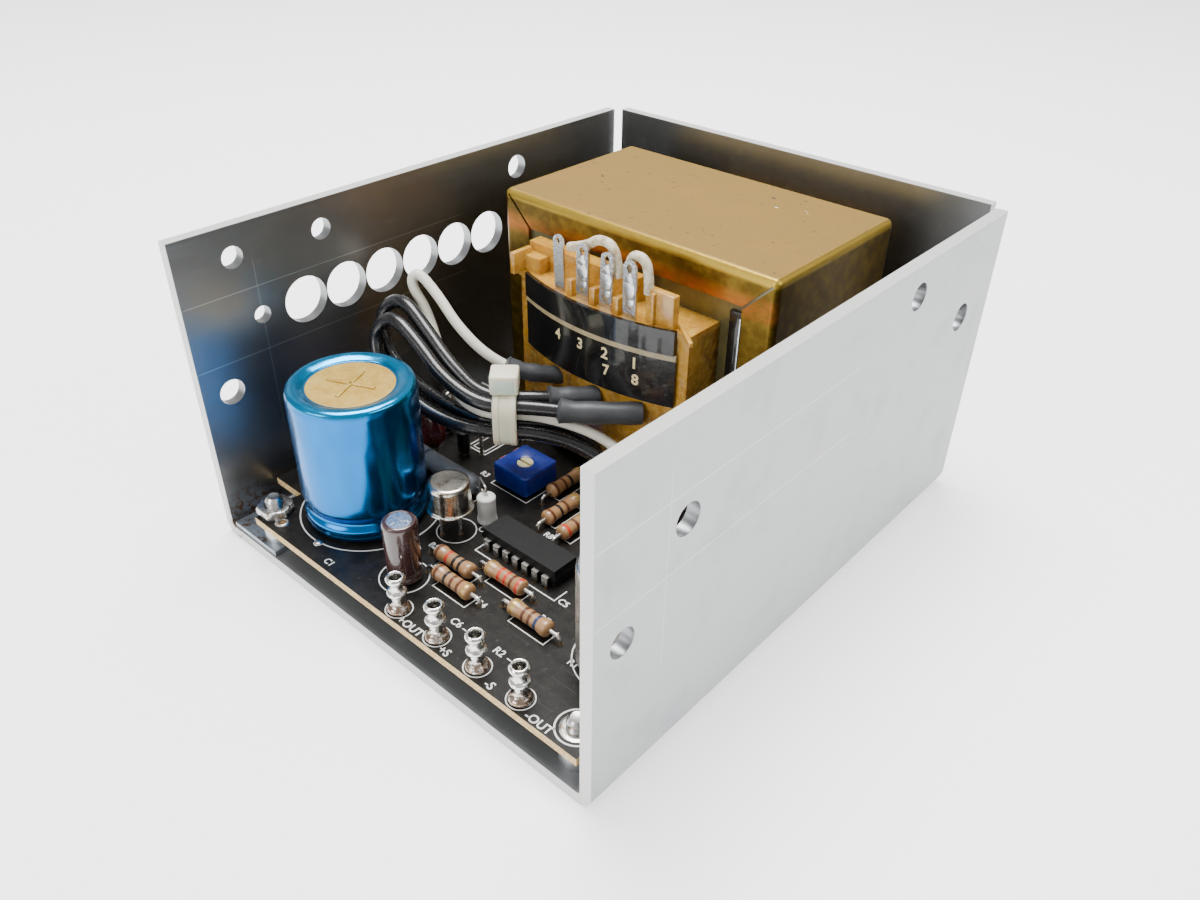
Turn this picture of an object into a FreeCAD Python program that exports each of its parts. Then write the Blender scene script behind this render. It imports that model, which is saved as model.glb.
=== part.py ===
import FreeCAD, Part
import math
import os
import re
import Sketcher

# Open-frame linear power supply module, in millimetres.
#
# Frame: the origin is the centre of the chassis's footprint, on the surface
# that it stands on. +X runs from the left wall to the right wall, +Y from the
# open front to the back wall, and +Z is up.
#
# A bent aluminium chassis (base, two side walls and a back wall) carries a
# circuit board at the front, on four studs, and a transformer at the back.

Vector = FreeCAD.Vector
Rotation = FreeCAD.Rotation
Placement = FreeCAD.Placement

doc = FreeCAD.newDocument("power_supply")

# ---------------------------------------------------------------- sizes

SIZES = [
    # chassis
    ("chassis_width", 101.6), ("chassis_depth", 120.65), ("chassis_height", 63.5),
    ("sheet", 2.29), ("bend_outside", 3.0), ("bend_inside", 0.7), ("chassis_split", 3.5),
    ("side_wall_gap", 1.1), ("back_wall_gap", 1.5),
    # holes in the walls: places are from the front edge and from the top edge
    ("fixing_hole", 5.6), ("fixing_first", 19.75), ("fixing_second", 105.25), ("fixing_down", 18.0),
    ("cross_hole", 5.2), ("cross_low_in", 6.2), ("cross_low_down", 32.0),
    ("cross_high_in", 83.7), ("cross_high_down", 6.3),
    ("vent_hole", 9.5), ("vent_pitch", 9.66), ("vent_first", 25.3), ("vent_down", 19.0), ("vent_count", 6),
    ("tag_hole", 4.3), ("tag_first", 11.7), ("tag_second", 30.9), ("tag_down", 6.0),
    ("pilot_hole", 3.5), ("pilot_in", 15.5), ("pilot_down", 18.8),
    # circuit board and what holds it
    ("board_thickness", 1.57), ("board_back", -0.575), ("board_side_gap", 1.1), ("board_depth", 59.3),
    ("board_lift", 5.34), ("board_notch_width", 8.5), ("board_notch_depth", 10.5),
    ("eyelet_out", 3.8), ("eyelet_forward", 1.2), ("eyelet_hole", 1.2),
    ("stud", 2.84), ("stud_fit", 0.02), ("stud_head", 4.6), ("stud_head_depth", 1.0), ("stud_slack", 0.45),
    ("stud_out", 3.4), ("short_stud_out", 2.4), ("stud_front_in", 3.85), ("stud_right_in", 7.4),
    ("stud_left_in", 11.1), ("stud_back_left_in", 8.0), ("stud_back_in", 5.8),
    ("spacer", 6.0), ("nut_flats", 6.35), ("nut_height", 1.5), ("washer", 6.2), ("washer_thickness", 0.5),
    ("corner_plate_width", 14.2), ("corner_plate_depth", 10.0), ("corner_plate_thickness", 1.2),
    ("corner_plate_left", 0.8), ("corner_plate_front", 0.15),
    # component leads
    ("lead_thin", 0.6), ("lead_mid", 0.8), ("hole_slack", 0.2), ("lead_tail", 1.2),
    ("solder_height", 0.8), ("solder_foot", 0.45),
    # output turrets
    ("turret_first", 2.3), ("turret_pitch", 10.16), ("turret_in", 2.75), ("turret_height", 7.6),
    ("turret_shank", 2.3), ("turret_flange", 3.6), ("turret_foot", 4.3), ("turret_bore", 1.9),
    # big filter capacitor
    ("filter_can", 24.2), ("filter_height", 29.4), ("filter_disc", 17.2), ("filter_pin", 1.6),
    ("filter_pin_pitch", 10.0), ("filter_left", -25.0), ("filter_y", -42.9),
    # smaller parts on the board
    ("small_can", 6.5), ("small_height", 13.3), ("small_x", -3.4), ("small_y", -51.0),
    ("side_can", 16.0), ("side_height", 20.8), ("side_x", 39.1), ("side_y", -39.5),
    ("metal_can", 8.4), ("metal_flange", 9.2), ("metal_height", 6.3), ("metal_lift", 5.2),
    ("metal_x", -7.9), ("metal_y", -35.9), ("metal_pitch", 5.08),
    ("upright_body", 4.1), ("upright_height", 6.2), ("upright_x", -4.5), ("upright_y", -29.7),
    ("chip_length", 19.05), ("chip_body", 6.35), ("chip_thickness", 3.4), ("chip_lift", 0.55),
    ("chip_pitch", 2.54), ("chip_rows", 7.62), ("chip_x", 9.55), ("chip_y", -32.0),
    ("trimmer_side", 9.53), ("trimmer_height", 4.8), ("trimmer_lift", 0.2), ("trimmer_x", -8.5),
    ("trimmer_y", -15.2), ("rotor", 3.4), ("rotor_depth", 1.6), ("rotor_fit", 0.05), ("rotor_slot", 0.6),
    ("resistor_body", 9.5), ("resistor_end", 3.2), ("resistor_waist", 2.75), ("resistor_reach", 2.2),
    ("little_body", 6.4), ("little_end", 2.4), ("little_waist", 2.0), ("little_reach", 1.8),
    ("power_body", 18.5), ("power_dia", 4.4), ("power_lift", 0.6), ("power_x", -20.9), ("power_y", -26.0),
    ("power_reach", 2.3),
    ("disc_dia", 10.4), ("disc_thickness", 3.2), ("disc_lift", 1.4), ("disc_x", -31.6), ("disc_y", -21.4),
    ("diode_dia", 2.8), ("diode_height", 7.2), ("diode_lift", 1.0),
    # pass transistor, flat on the base under the board
    ("tab_width", 10.2), ("tab_length", 15.7), ("tab_thickness", 1.3), ("case_length", 9.0),
    ("case_thickness", 4.4), ("pad_thickness", 0.2), ("pass_x", 29.0), ("pass_y", -24.0),
    # transformer
    ("core_width", 66.7), ("core_height", 55.6), ("core_depth", 39.5), ("core_front", 8.4),
    ("core_x", -1.9), ("core_pad", 0.71), ("cover_sheet", 0.8), ("cover_lip", 7.0), ("cover_bend", 1.3),
    ("cover_slit", 0.5),
    ("foot_reach", 10.8), ("foot_width", 18.0), ("foot_stud", 4.1), ("foot_stud_head", 6.4),
    ("foot_stud_out", 7.0), ("foot_nut_flats", 8.7), ("foot_nut_height", 3.2),
    ("bobbin_wall", 1.3), ("bobbin_fit", 0.15), ("coil_reach", 8.9), ("bulge", 3.6), ("bulge_radius", 54.0),
    ("band_thickness", 0.8), ("upper_band_top", 0.3), ("upper_band_height", 5.0), ("strip_height", 1.3),
    ("lower_band_height", 9.9),
    ("lug_width", 3.2), ("lug_height", 11.3), ("lug_thickness", 0.6), ("lug_hole", 1.4), ("lug_pitch", 5.9),
    ("lug_count", 4),
    # leads from the coil to the board, and the tie round them
    ("lead_black", 2.9), ("lead_white", 2.1), ("sleeve_wall", 0.75), ("sleeve_fit", 0.05),
    ("sleeve_share", 0.6), ("tie_width", 4.6), ("tie_thickness", 1.1),
]

sheet = doc.addObject("Spreadsheet::Sheet", "Sizes")
for row, (alias, number) in enumerate(SIZES, start=1):
    sheet.set(f"A{row}", alias)
    sheet.set(f"B{row}", str(number))
    sheet.setAlias(f"B{row}", alias)
doc.recompute()

ALIASES = {alias for alias, number in SIZES}


def sized(text):
    """An expression for the document: every size's alias gains the sheet's name."""
    return re.sub(r"[A-Za-z_]\w*", lambda m: ("Sizes." if m[0] in ALIASES else "") + m[0], str(text))


def value(text):
    """What an expression of sizes comes to."""
    return float(sheet.evalExpression(sized(text)))


# Places that several pieces share, each worked out from the sizes.
FRONT = "(-chassis_depth/2)"
LEFT_INSIDE = "(sheet-chassis_width/2)"
RIGHT_INSIDE = "(chassis_width/2-sheet)"
BOARD_BOTTOM = "(sheet+board_lift)"
BOARD_TOP = "(sheet+board_lift+board_thickness)"
BOARD_FRONT = "(board_back-board_depth)"
BOARD_BACK = "board_back"
BOARD_LEFT = f"({LEFT_INSIDE}+board_side_gap)"
BOARD_RIGHT = f"({RIGHT_INSIDE}-board_side_gap)"
TAIL = "(sheet+board_lift-lead_tail)"
LEG = "(core_width/3)"
WINDOW = "(core_width/6)"
CORE_BOTTOM = "(sheet+core_pad)"
CORE_TOP = "(sheet+core_pad+core_height)"
CORE_BACK = "(core_front+core_depth)"
FLANGE_TOP = f"({CORE_TOP}-{WINDOW})"
FLANGE_BOTTOM = f"({CORE_BOTTOM}+{WINDOW})"

NODES = []      # every sub-part, in the order it is made
DRILLED = []    # (x, y, lead diameter) of each lead that goes through the board
SQUARE = []     # (x, y) of the chip's pins, which are flat strips


# ---------------------------------------------------------------- helpers

def keep(item, label):
    """Make an object one of the sub-parts: its label names its file."""
    item.Label = label
    NODES.append(item)
    return item


def place(item, x=0, y=0, z=0, turn=None):
    """Bind an object's place to the sizes, after an optional turn (axis, degrees)."""
    if turn:
        item.Placement = Placement(Vector(), Rotation(Vector(*turn[0]), turn[1]))
    for axis, text in zip("xyz", (x, y, z)):
        item.setExpression(f"Placement.Base.{axis}", sized(text))
    return item


def new(kind, name, **bound):
    """A document object whose properties follow expressions of the sizes."""
    item = doc.addObject(kind, name)
    for field, text in bound.items():
        item.setExpression(field, sized(text))
    return item


def box(name, x, y, z, length, width, height):
    """A block from its lowest corner and its size along X, Y and Z."""
    return place(new("Part::Box", name, Length=length, Width=width, Height=height), x, y, z)


def rod(name, x, y, z, diameter, height, turn=None):
    """A round bar that starts at a point and runs along +Z, or along what a turn makes of it."""
    return place(new("Part::Cylinder", name, Radius=f"({diameter})/2", Height=height), x, y, z, turn)


def cut(name, base, tools):
    """The base with every tool taken out of it."""
    item = doc.addObject("Part::Cut", name)
    item.Base = base
    item.Tool = tools[0] if len(tools) == 1 else join(name + "_tools", tools)
    return item


def join(name, pieces):
    """Pieces that touch or overlap, as one solid."""
    item = doc.addObject("Part::MultiFuse", name)
    item.Shapes = pieces
    return item


def common(name, first, second):
    """What two solids share."""
    item = doc.addObject("Part::Common", name)
    item.Base = first
    item.Tool = second
    return item


def group(label, solids):
    """Separate solids of one kind, kept together in one sub-part."""
    item = doc.addObject("Part::Compound", label + "_group")
    item.Links = solids
    return keep(item, label)


def feature(label, shape, spot=None):
    """A sub-part whose shape is made in code, and where it stands."""
    item = doc.addObject("Part::Feature", label + "_shape")
    item.Shape = shape
    item.Placement = spot or Placement()
    return keep(item, label)


def sketch(body, name, plane, loops=(), circles=(), offset=None):
    """A sketch on one of a body's own planes: closed loops of corners, and circles.

    Every corner is tied to the sheet by an expression for each coordinate, and
    every circle by its centre and its diameter. An offset moves the sketch
    along its plane's normal.
    """
    item = body.newObject("Sketcher::SketchObject", name)
    support = [p for p in body.Origin.OriginFeatures if p.Role == plane][0]
    item.AttachmentSupport = [(support, "")]
    item.MapMode = "FlatFace"
    if offset:
        item.setExpression("AttachmentOffset.Base.z", sized(offset))

    def tie(kind, geometry, end, text):
        index = item.addConstraint(Sketcher.Constraint(kind, geometry, end, value(text)))
        item.setExpression(f"Constraints[{index}]", sized(text))

    for corners in loops:
        points = [Vector(value(x), value(y), 0) for x, y in corners]
        first = item.GeometryCount
        count = len(points)
        for i in range(count):
            item.addGeometry(Part.LineSegment(points[i], points[(i + 1) % count]), False)
        for i in range(count):
            item.addConstraint(Sketcher.Constraint("Coincident", first + i, 2, first + (i + 1) % count, 1))
        for i, (x, y) in enumerate(corners):
            tie("DistanceX", first + i, 1, x)
            tie("DistanceY", first + i, 1, y)
    for x, y, diameter in circles:
        index = item.GeometryCount
        centre = Vector(value(x), value(y), 0)
        item.addGeometry(Part.Circle(centre, Vector(0, 0, 1), value(diameter) / 2), False)
        tie("DistanceX", index, 3, x)
        tie("DistanceY", index, 3, y)
        constraint = item.addConstraint(Sketcher.Constraint("Diameter", index, value(diameter)))
        item.setExpression(f"Constraints[{constraint}]", sized(diameter))
    return item


def pad(body, name, profile, length, reverse=False):
    """A sketch made solid by a length."""
    item = body.newObject("PartDesign::Pad", name)
    item.Profile = profile
    item.Reversed = reverse
    item.setExpression("Length", sized(length))
    return item


def pocket(body, name, profile, length, reverse=False):
    """A sketch sunk into the body; the volume has to shrink."""
    doc.recompute()
    before = body.Tip.Shape.Volume
    item = body.newObject("PartDesign::Pocket", name)
    item.Profile = profile
    item.Reversed = reverse
    item.setExpression("Length", sized(length))
    doc.recompute()
    if item.Shape.Volume >= before:
        raise RuntimeError(f"{name} cuts nothing")
    return item


def solid_body(name):
    """A PartDesign body of its own."""
    return doc.addObject("PartDesign::Body", name)


def turned(name, profile, x=0, y=0, z=0, turn=None):
    """A body turned on a lathe: (radius, height) corners swept round its own Z axis."""
    body = solid_body(name)
    half = sketch(body, name + "_profile", "XZ_Plane", [profile])
    spin = body.newObject("PartDesign::Revolution", name + "_turn")
    spin.Profile = half
    spin.ReferenceAxis = (half, ["V_Axis"])
    spin.Angle = 360
    return place(body, x, y, z, turn)


def hexagon(name, x, y, z, flats, height, bore):
    """A hexagon nut with a plain bore."""
    body = solid_body(name)
    corners = [(f"({flats})/sqrt(3)*{math.cos(math.radians(60 * i)):.6f}",
                f"({flats})/sqrt(3)*{math.sin(math.radians(60 * i)):.6f}") for i in range(6)]
    pad(body, name + "_pad", sketch(body, name + "_outline", "XY_Plane", [corners], [(0, 0, bore)]), height)
    return place(body, x, y, z)


def tube(name, x, y, z, outside, bore, height):
    """A plain ring or spacer."""
    return turned(name, [(f"({bore})/2", 0), (f"({outside})/2", 0), (f"({outside})/2", height),
                         (f"({bore})/2", height)], x, y, z)


def rounded_path(points, radius):
    """Straight runs joined by tangent arcs; a radius of None is as large as the runs allow."""
    edges = []
    start = points[0]
    radii = []
    for before, corner, after in zip(points, points[1:], points[2:]):
        back = (before - corner).normalize()
        ahead = (after - corner).normalize()
        half_turn = (math.pi - back.getAngle(ahead)) / 2
        shorter = min(before.distanceToPoint(corner), after.distanceToPoint(corner))
        arc = radius if radius else 0.45 * shorter / math.tan(half_turn)
        reach = arc * math.tan(half_turn)
        entry = corner + back * reach
        leave = corner + ahead * reach
        middle = corner + (back + ahead).normalize() * (arc / math.cos(half_turn) - arc)
        edges.append(Part.LineSegment(start, entry).toShape())
        edges.append(Part.Arc(entry, middle, leave).toShape())
        radii.append(arc)
        start = leave
    edges.append(Part.LineSegment(start, points[-1]).toShape())
    return Part.Wire(edges), radii


def round_wire(points, diameter, radius=None):
    """A round wire or lead along points, with its volume compared with section times length."""
    path, radii = rounded_path([Vector(*p) for p in points], radius)
    edge = Part.makeCircle(diameter / 2, path.Edges[0].valueAt(0),
                           path.Edges[0].tangentAt(path.Edges[0].FirstParameter))
    shape = path.makePipeShell([Part.Wire([edge])], True, False)
    expected = math.pi * diameter ** 2 / 4 * path.Length
    if abs(shape.Volume - expected) > 0.01 * expected:
        raise RuntimeError(f"wire volume {shape.Volume:.1f} is not {expected:.1f}")
    return shape, radii, path.Length


def drill(x, y, diameter):
    """Note a lead that goes through the board, for its hole and its solder joint."""
    DRILLED.append((x, y, diameter))


# ---------------------------------------------------------------- chassis

BOARD_STUDS = [
    (f"({LEFT_INSIDE}+stud_left_in)", f"({BOARD_FRONT}+stud_front_in)"),
    ("(chassis_width/2-stud_right_in)", f"({BOARD_FRONT}+stud_front_in+0.7)"),
    ("(stud_back_left_in-chassis_width/2)", f"({BOARD_BACK}-stud_back_in)"),
    ("(chassis_width/2-stud_right_in)", f"({BOARD_BACK}-stud_back_in)"),
]
COVER_SIDE = "(core_width/2+cover_sheet)"
COVER_LEFT = f"(core_x-{COVER_SIDE})"
COVER_RIGHT = f"(core_x+{COVER_SIDE})"
COVER_FRONT = "(core_front-cover_sheet)"
COVER_TOP = f"({CORE_TOP}+cover_sheet)"
FOOT_OUT = "(foot_nut_flats/sqrt(3)+0.6)"
FOOT_STUDS = [(f"({COVER_LEFT}-{FOOT_OUT})", "(core_front+core_depth/2)"),
              (f"({COVER_RIGHT}+{FOOT_OUT})", "(core_front+core_depth/2)")]
PASS_HOLE_Y = "(pass_y+tab_length/2-2.8)"
TAB_TOP = "(sheet+pad_thickness+tab_thickness)"


def edges_along(shape, axis, places):
    """Names of the straight edges along an axis that pass through the given places."""
    others = [i for i in range(3) if i != axis]
    names = []
    for number, edge in enumerate(shape.Edges, start=1):
        if len(edge.Vertexes) != 2:
            continue
        a, b = (v.Point for v in edge.Vertexes)
        if any(abs(a[i] - b[i]) > 1e-5 for i in others):
            continue
        for place_ in places:
            if all(abs(a[i] - p) < 1e-4 for i, p in zip(others, place_)):
                names.append(f"Edge{number}")
    return names


def fillet(body, name, axis, places, radius):
    """Round the body's edges along an axis at the given places by a bound radius."""
    doc.recompute()
    base = body.Tip
    item = body.newObject("PartDesign::Fillet", name)
    item.Base = (base, edges_along(base.Shape, axis, [(value(u), value(v)) for u, v in places]))
    item.setExpression("Radius", sized(radius))
    return item


def make_chassis():
    """One bent sheet: base and side walls are a U, and the back wall turns up behind it.

    The body's own Y starts at the front edge, so that holes are placed from there.
    """
    body = solid_body("chassis_body")
    half = "(chassis_width/2)"
    u_shape = [(f"-{half}", 0), (half, 0), (half, "chassis_height"), (RIGHT_INSIDE, "chassis_height"),
               (RIGHT_INSIDE, "sheet"), (LEFT_INSIDE, "sheet"), (LEFT_INSIDE, "chassis_height"),
               (f"-{half}", "chassis_height")]
    pad(body, "chassis_walls", sketch(body, "chassis_u", "XZ_Plane", [u_shape]),
        "chassis_depth-sheet-side_wall_gap", True)
    fillet(body, "side_bends_outside", 1, [(f"-{half}", 0), (half, 0)], "bend_outside")
    fillet(body, "side_bends_inside", 1, [(LEFT_INSIDE, "sheet"), (RIGHT_INSIDE, "sheet")], "bend_inside")
    strip_half = f"({half}-sheet-back_wall_gap)"
    start = "(chassis_depth*0.8)"
    l_shape = [(start, 0), ("chassis_depth", 0), ("chassis_depth", "chassis_height"),
               ("chassis_depth-sheet", "chassis_height"), ("chassis_depth-sheet", "sheet"), (start, "sheet")]
    pad(body, "chassis_back", sketch(body, "chassis_l", "YZ_Plane", [l_shape], offset=f"-{strip_half}"),
        f"2*{strip_half}")
    fillet(body, "back_bend_outside", 0, [("chassis_depth", 0)], "bend_outside")
    fillet(body, "back_bend_inside", 0, [("chassis_depth-sheet", "sheet")], "bend_inside")

    def high(down):
        return f"(chassis_height-{down})"

    cross = [("cross_low_in", high("cross_low_down"), "cross_hole"),
             ("cross_high_in", high("cross_high_down"), "cross_hole")]
    right = [("fixing_first", high("fixing_down"), "fixing_hole"),
             ("fixing_second", high("fixing_down"), "fixing_hole")] + cross
    left = [("tag_first", high("tag_down"), "tag_hole"), ("tag_second", high("tag_down"), "tag_hole"),
            ("pilot_in", high("pilot_down"), "pilot_hole")] + cross
    left += [(f"(vent_first+{i}*vent_pitch)", high("vent_down"), "vent_hole")
             for i in range(int(value("vent_count")))]
    pocket(body, "right_wall_holes", sketch(body, "right_circles", "YZ_Plane", [], right),
           "chassis_width", True)
    pocket(body, "left_wall_holes", sketch(body, "left_circles", "YZ_Plane", [], left), "chassis_width")
    shanks = [(x, f"({y}-{FRONT})", "stud+stud_fit") for x, y in BOARD_STUDS]
    shanks += [(x, f"({y}-{FRONT})", "foot_stud+stud_fit") for x, y in FOOT_STUDS]
    shanks += [("pass_x", f"({PASS_HOLE_Y}-{FRONT})", "stud+stud_fit")]
    heads = [(x, y, "foot_stud_head+stud_fit" if d.startswith("foot") else "stud_head+stud_fit")
             for x, y, d in shanks]
    pocket(body, "stud_holes", sketch(body, "stud_circles", "XY_Plane", [], shanks), "sheet", True)
    pocket(body, "stud_head_sinks", sketch(body, "head_circles", "XY_Plane", [], heads),
           "stud_head_depth", True)
    share_chassis(place(body, 0, FRONT, 0))


def share_chassis(body):
    """The one bent sheet as four sub-parts that meet face to face just above the bends."""
    wall = "(chassis_height-chassis_split)"
    middle = "(chassis_width-2*chassis_split)"
    shares = {
        "chassis_base": ("-chassis_width", "-chassis_depth", 0, "2*chassis_width", "2*chassis_depth",
                         "chassis_split"),
        "chassis_left_wall": ("-chassis_width/2", "-chassis_depth", "chassis_split", "sheet",
                              "2*chassis_depth", wall),
        "chassis_right_wall": ("chassis_width/2-sheet", "-chassis_depth", "chassis_split", "sheet",
                               "2*chassis_depth", wall),
        "chassis_back_wall": (f"-({middle})/2", 0, "chassis_split", middle, "chassis_depth", wall),
    }
    for name, spot_and_size in shares.items():
        keep(common(name + "_share", body, box(name + "_room", *spot_and_size)), name)


def stud(name, x, y, shank, head, top):
    """A clinch stud: its head is flush in the base and its shank stands up to a height."""
    return turned(name, [(0, 0), (f"({head})/2", 0), (f"({head})/2", "stud_head_depth"),
                         (f"({shank})/2", "stud_head_depth"), (f"({shank})/2", f"{top}-0.4"),
                         (f"({shank})/2-0.4", top), (0, top)], x, y, 0)


def make_fixings():
    """Small studs in the base with their nuts, and the board's spacers and lock washers.

    The board stands on four studs, of which the short one at its front right
    corner has no nut. The fifth stud and nut hold the pass transistor.
    """
    long_top = f"({BOARD_TOP}+washer_thickness+stud_out)"
    tops = [long_top, f"({BOARD_TOP}+short_stud_out)", long_top, long_top]
    studs = [stud(f"board_stud_{i}", x, y, "stud", "stud_head", top)
             for i, ((x, y), top) in enumerate(zip(BOARD_STUDS, tops), start=1)]
    studs.append(stud("pass_stud", "pass_x", PASS_HOLE_Y, "stud", "stud_head", f"({TAB_TOP}+2.2)"))
    group("small_studs", studs)
    bore = "stud+0.3"
    lifts = ["corner_plate_thickness", "0", "0", "0"]
    group("board_spacers", [tube(f"board_spacer_{i}", x, y, f"(sheet+{lift})", "spacer", bore,
                                 f"board_lift-{lift}")
                            for i, ((x, y), lift) in enumerate(zip(BOARD_STUDS, lifts), start=1)])
    nutted = [BOARD_STUDS[0], BOARD_STUDS[2], BOARD_STUDS[3]]
    group("board_washers", [tube(f"board_washer_{i}", x, y, BOARD_TOP, "washer", bore, "washer_thickness")
                            for i, (x, y) in enumerate(nutted, start=1)])
    nuts = [hexagon(f"board_nut_{i}", x, y, f"({BOARD_TOP}+washer_thickness)", "nut_flats", "nut_height",
                    "stud+0.1") for i, (x, y) in enumerate(nutted, start=1)]
    nuts.append(hexagon("pass_nut", "pass_x", PASS_HOLE_Y, TAB_TOP, "nut_flats", "nut_height", "stud+0.1"))
    group("small_nuts", nuts)


def make_corner_plate():
    """The steel plate under the board's front left corner, with a hole for the stud."""
    x0 = f"({LEFT_INSIDE}+corner_plate_left)"
    y0 = f"({BOARD_FRONT}-corner_plate_front)"
    body = keep(solid_body("corner_plate_body"), "corner_plate")
    corners = [(x0, y0), (f"{x0}+corner_plate_width", y0),
               (f"{x0}+corner_plate_width", f"{y0}+corner_plate_depth"), (x0, f"{y0}+corner_plate_depth")]
    x, y = BOARD_STUDS[0]
    pad(body, "corner_plate_pad", sketch(body, "corner_plate_outline", "XY_Plane", [corners],
                                         [(x, y, "stud+0.4")]), "corner_plate_thickness")
    return place(body, 0, 0, "sheet")


# ---------------------------------------------------------------- parts on the board

def lead(points, diameter):
    """A bent component lead, with corners rounded to its own diameter."""
    size = value(diameter)
    return round_wire(points, size, size)[0]


def at(*texts):
    """Expressions as a point."""
    return tuple(value(t) for t in texts)


def lead_group(label, shapes):
    """The separate leads of one component, or of one row of components."""
    return feature(label, Part.makeCompound(shapes))


def resistor(label, x, y, body_length, end, waist, reach, lead_size, along_y=False, lift="0.05"):
    """A resistor lying on the board: a dog-bone body, and its leads bent down through the board."""
    half = f"({body_length})/2"
    profile = [(0, f"-{half}"), (f"({end})/2-0.4", f"-{half}"), (f"({end})/2", f"-{half}+0.5"),
               (f"({end})/2", f"-{half}+1.6"), (f"({waist})/2", f"-{half}+2.3"),
               (f"({waist})/2", f"{half}-2.3"), (f"({end})/2", f"{half}-1.6"),
               (f"({end})/2", f"{half}-0.5"), (f"({end})/2-0.4", half), (0, half)]
    axis_z = f"({BOARD_TOP}+{lift}+({end})/2)"
    turn = ((1, 0, 0), 90) if along_y else ((0, 1, 0), 90)
    body = turned(label + "_body", profile, x, y, axis_z, turn)
    shapes = []
    for side in (-1, 1):
        start = f"({side}*({half}))"
        stop = f"({side}*({half}+({reach})))"
        if along_y:
            route = [at(x, f"{y}+{start}", axis_z), at(x, f"{y}+{stop}", axis_z), at(x, f"{y}+{stop}", TAIL)]
            drill(x, f"({y}+{stop})", lead_size)
        else:
            route = [at(f"{x}+{start}", y, axis_z), at(f"{x}+{stop}", y, axis_z), at(f"{x}+{stop}", y, TAIL)]
            drill(f"({x}+{stop})", y, lead_size)
        shapes.append(lead(route, lead_size))
    return body, shapes


def make_resistors():
    """Film resistors in a front and a back group, a small one, and a large grey one."""
    big = ("resistor_body", "resistor_end", "resistor_waist", "resistor_reach", "lead_mid")
    front = [("1.5", "-43.3"), ("5.5", "-47.2"), ("11.6", "-40.0"), ("22.1", "-44.3")]
    back = [("-0.6", "-11.4"), ("4.9", "-18.4"), ("10.3", "-19.8")]
    wires = []
    for label, rows, along_y in (("front_resistors", front, False), ("back_resistors", back, True)):
        bodies = []
        for number, (x, y) in enumerate(rows, start=1):
            body, pair = resistor(f"{label}_{number}", x, y, *big, along_y)
            bodies.append(body)
            wires += pair
        group(label, bodies)
    body, pair = resistor("little_resistor", "-15.6", "-12.3", "little_body", "little_end", "little_waist",
                          "little_reach", "lead_thin", True)
    keep(body, "little_resistor")
    lead_group("resistor_leads", wires + pair)
    body, pair = resistor("power_resistor", "power_x", "power_y", "power_body", "power_dia", "power_dia-0.01",
                          "power_reach", "lead_mid", False, "power_lift")
    keep(body, "power_resistor")
    lead_group("power_resistor_leads", pair)


def straight_legs(centre, offsets, top, size):
    """Straight legs that go down through the board from a component's underside."""
    shapes = []
    for dx, dy in offsets:
        x = f"({centre[0]}+{dx})"
        y = f"({centre[1]}+{dy})"
        bottom = at(x, y, TAIL)
        shapes.append(Part.makeCylinder(value(size) / 2, value(top) - bottom[2], Vector(*bottom)))
        drill(x, y, size)
    return shapes


def make_filter_capacitor():
    """The big can in its blue sleeve, with a crimped groove, its end disc, and two snap-in pins."""
    r = "(filter_can/2)"
    profile = [(0, 0), (f"{r}-1.4", 0), (f"{r}-0.3", 0.8), (r, 2.0), (r, 3.2), (f"{r}-0.9", 4.6),
               (r, 6.0), (r, "filter_height-0.9"), (f"{r}-0.4", "filter_height-0.2"),
               (f"{r}-1.1", "filter_height"), ("filter_disc/2", "filter_height"),
               ("filter_disc/2", "filter_height-0.7"), (0, "filter_height-0.7")]
    keep(turned("filter_can_body", profile, "filter_left", "filter_y", BOARD_TOP), "filter_capacitor")
    disc = [(0, 0), ("filter_disc/2-0.05", 0), ("filter_disc/2-0.05", 0.5), (0, 0.5)]
    keep(turned("filter_disc_body", disc, "filter_left", "filter_y", f"({BOARD_TOP}+filter_height-0.7)"),
         "filter_capacitor_disc")
    half = "(filter_pin_pitch/2)"
    pins = straight_legs(("filter_left", "filter_y"), [(0, f"-{half}"), (0, half)],
                         BOARD_TOP, "filter_pin")
    lead_group("filter_capacitor_pins", pins)


def small_can(label, x, y, diameter, height, pitch, lead_size):
    """An upright electrolytic: a sleeved can with a groove near its foot. Its two legs are given back."""
    r = f"(({diameter})/2)"
    profile = [(0, 0), (f"{r}-0.4", 0), (r, 0.4), (r, 1.3), (f"{r}-0.35", 1.9), (r, 2.5),
               (r, f"({height})-0.5"), (f"{r}-0.5", height), (0, height)]
    keep(turned(label + "_body", profile, x, y, BOARD_TOP), label)
    return straight_legs((x, y), [(f"-({pitch})/2", 0), (f"({pitch})/2", 0)], BOARD_TOP, lead_size)


def make_metal_transistor():
    """A round metal-can transistor that stands on three long legs."""
    profile = [(0, 0), ("metal_flange/2", 0), ("metal_flange/2", 0.45), ("metal_can/2", 0.45),
               ("metal_can/2", "metal_height-0.5"), ("metal_can/2-0.5", "metal_height"), (0, "metal_height")]
    top = f"({BOARD_TOP}+metal_lift)"
    keep(turned("metal_can_body", profile, "metal_x", "metal_y", top), "driver_transistor")
    half = "(metal_pitch/2)"
    legs = straight_legs(("metal_x", "metal_y"), [(f"-{half}", 0), (0, f"-{half}"), (half, 0)], top,
                         "lead_thin")
    lead_group("driver_transistor_legs", legs)


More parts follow.
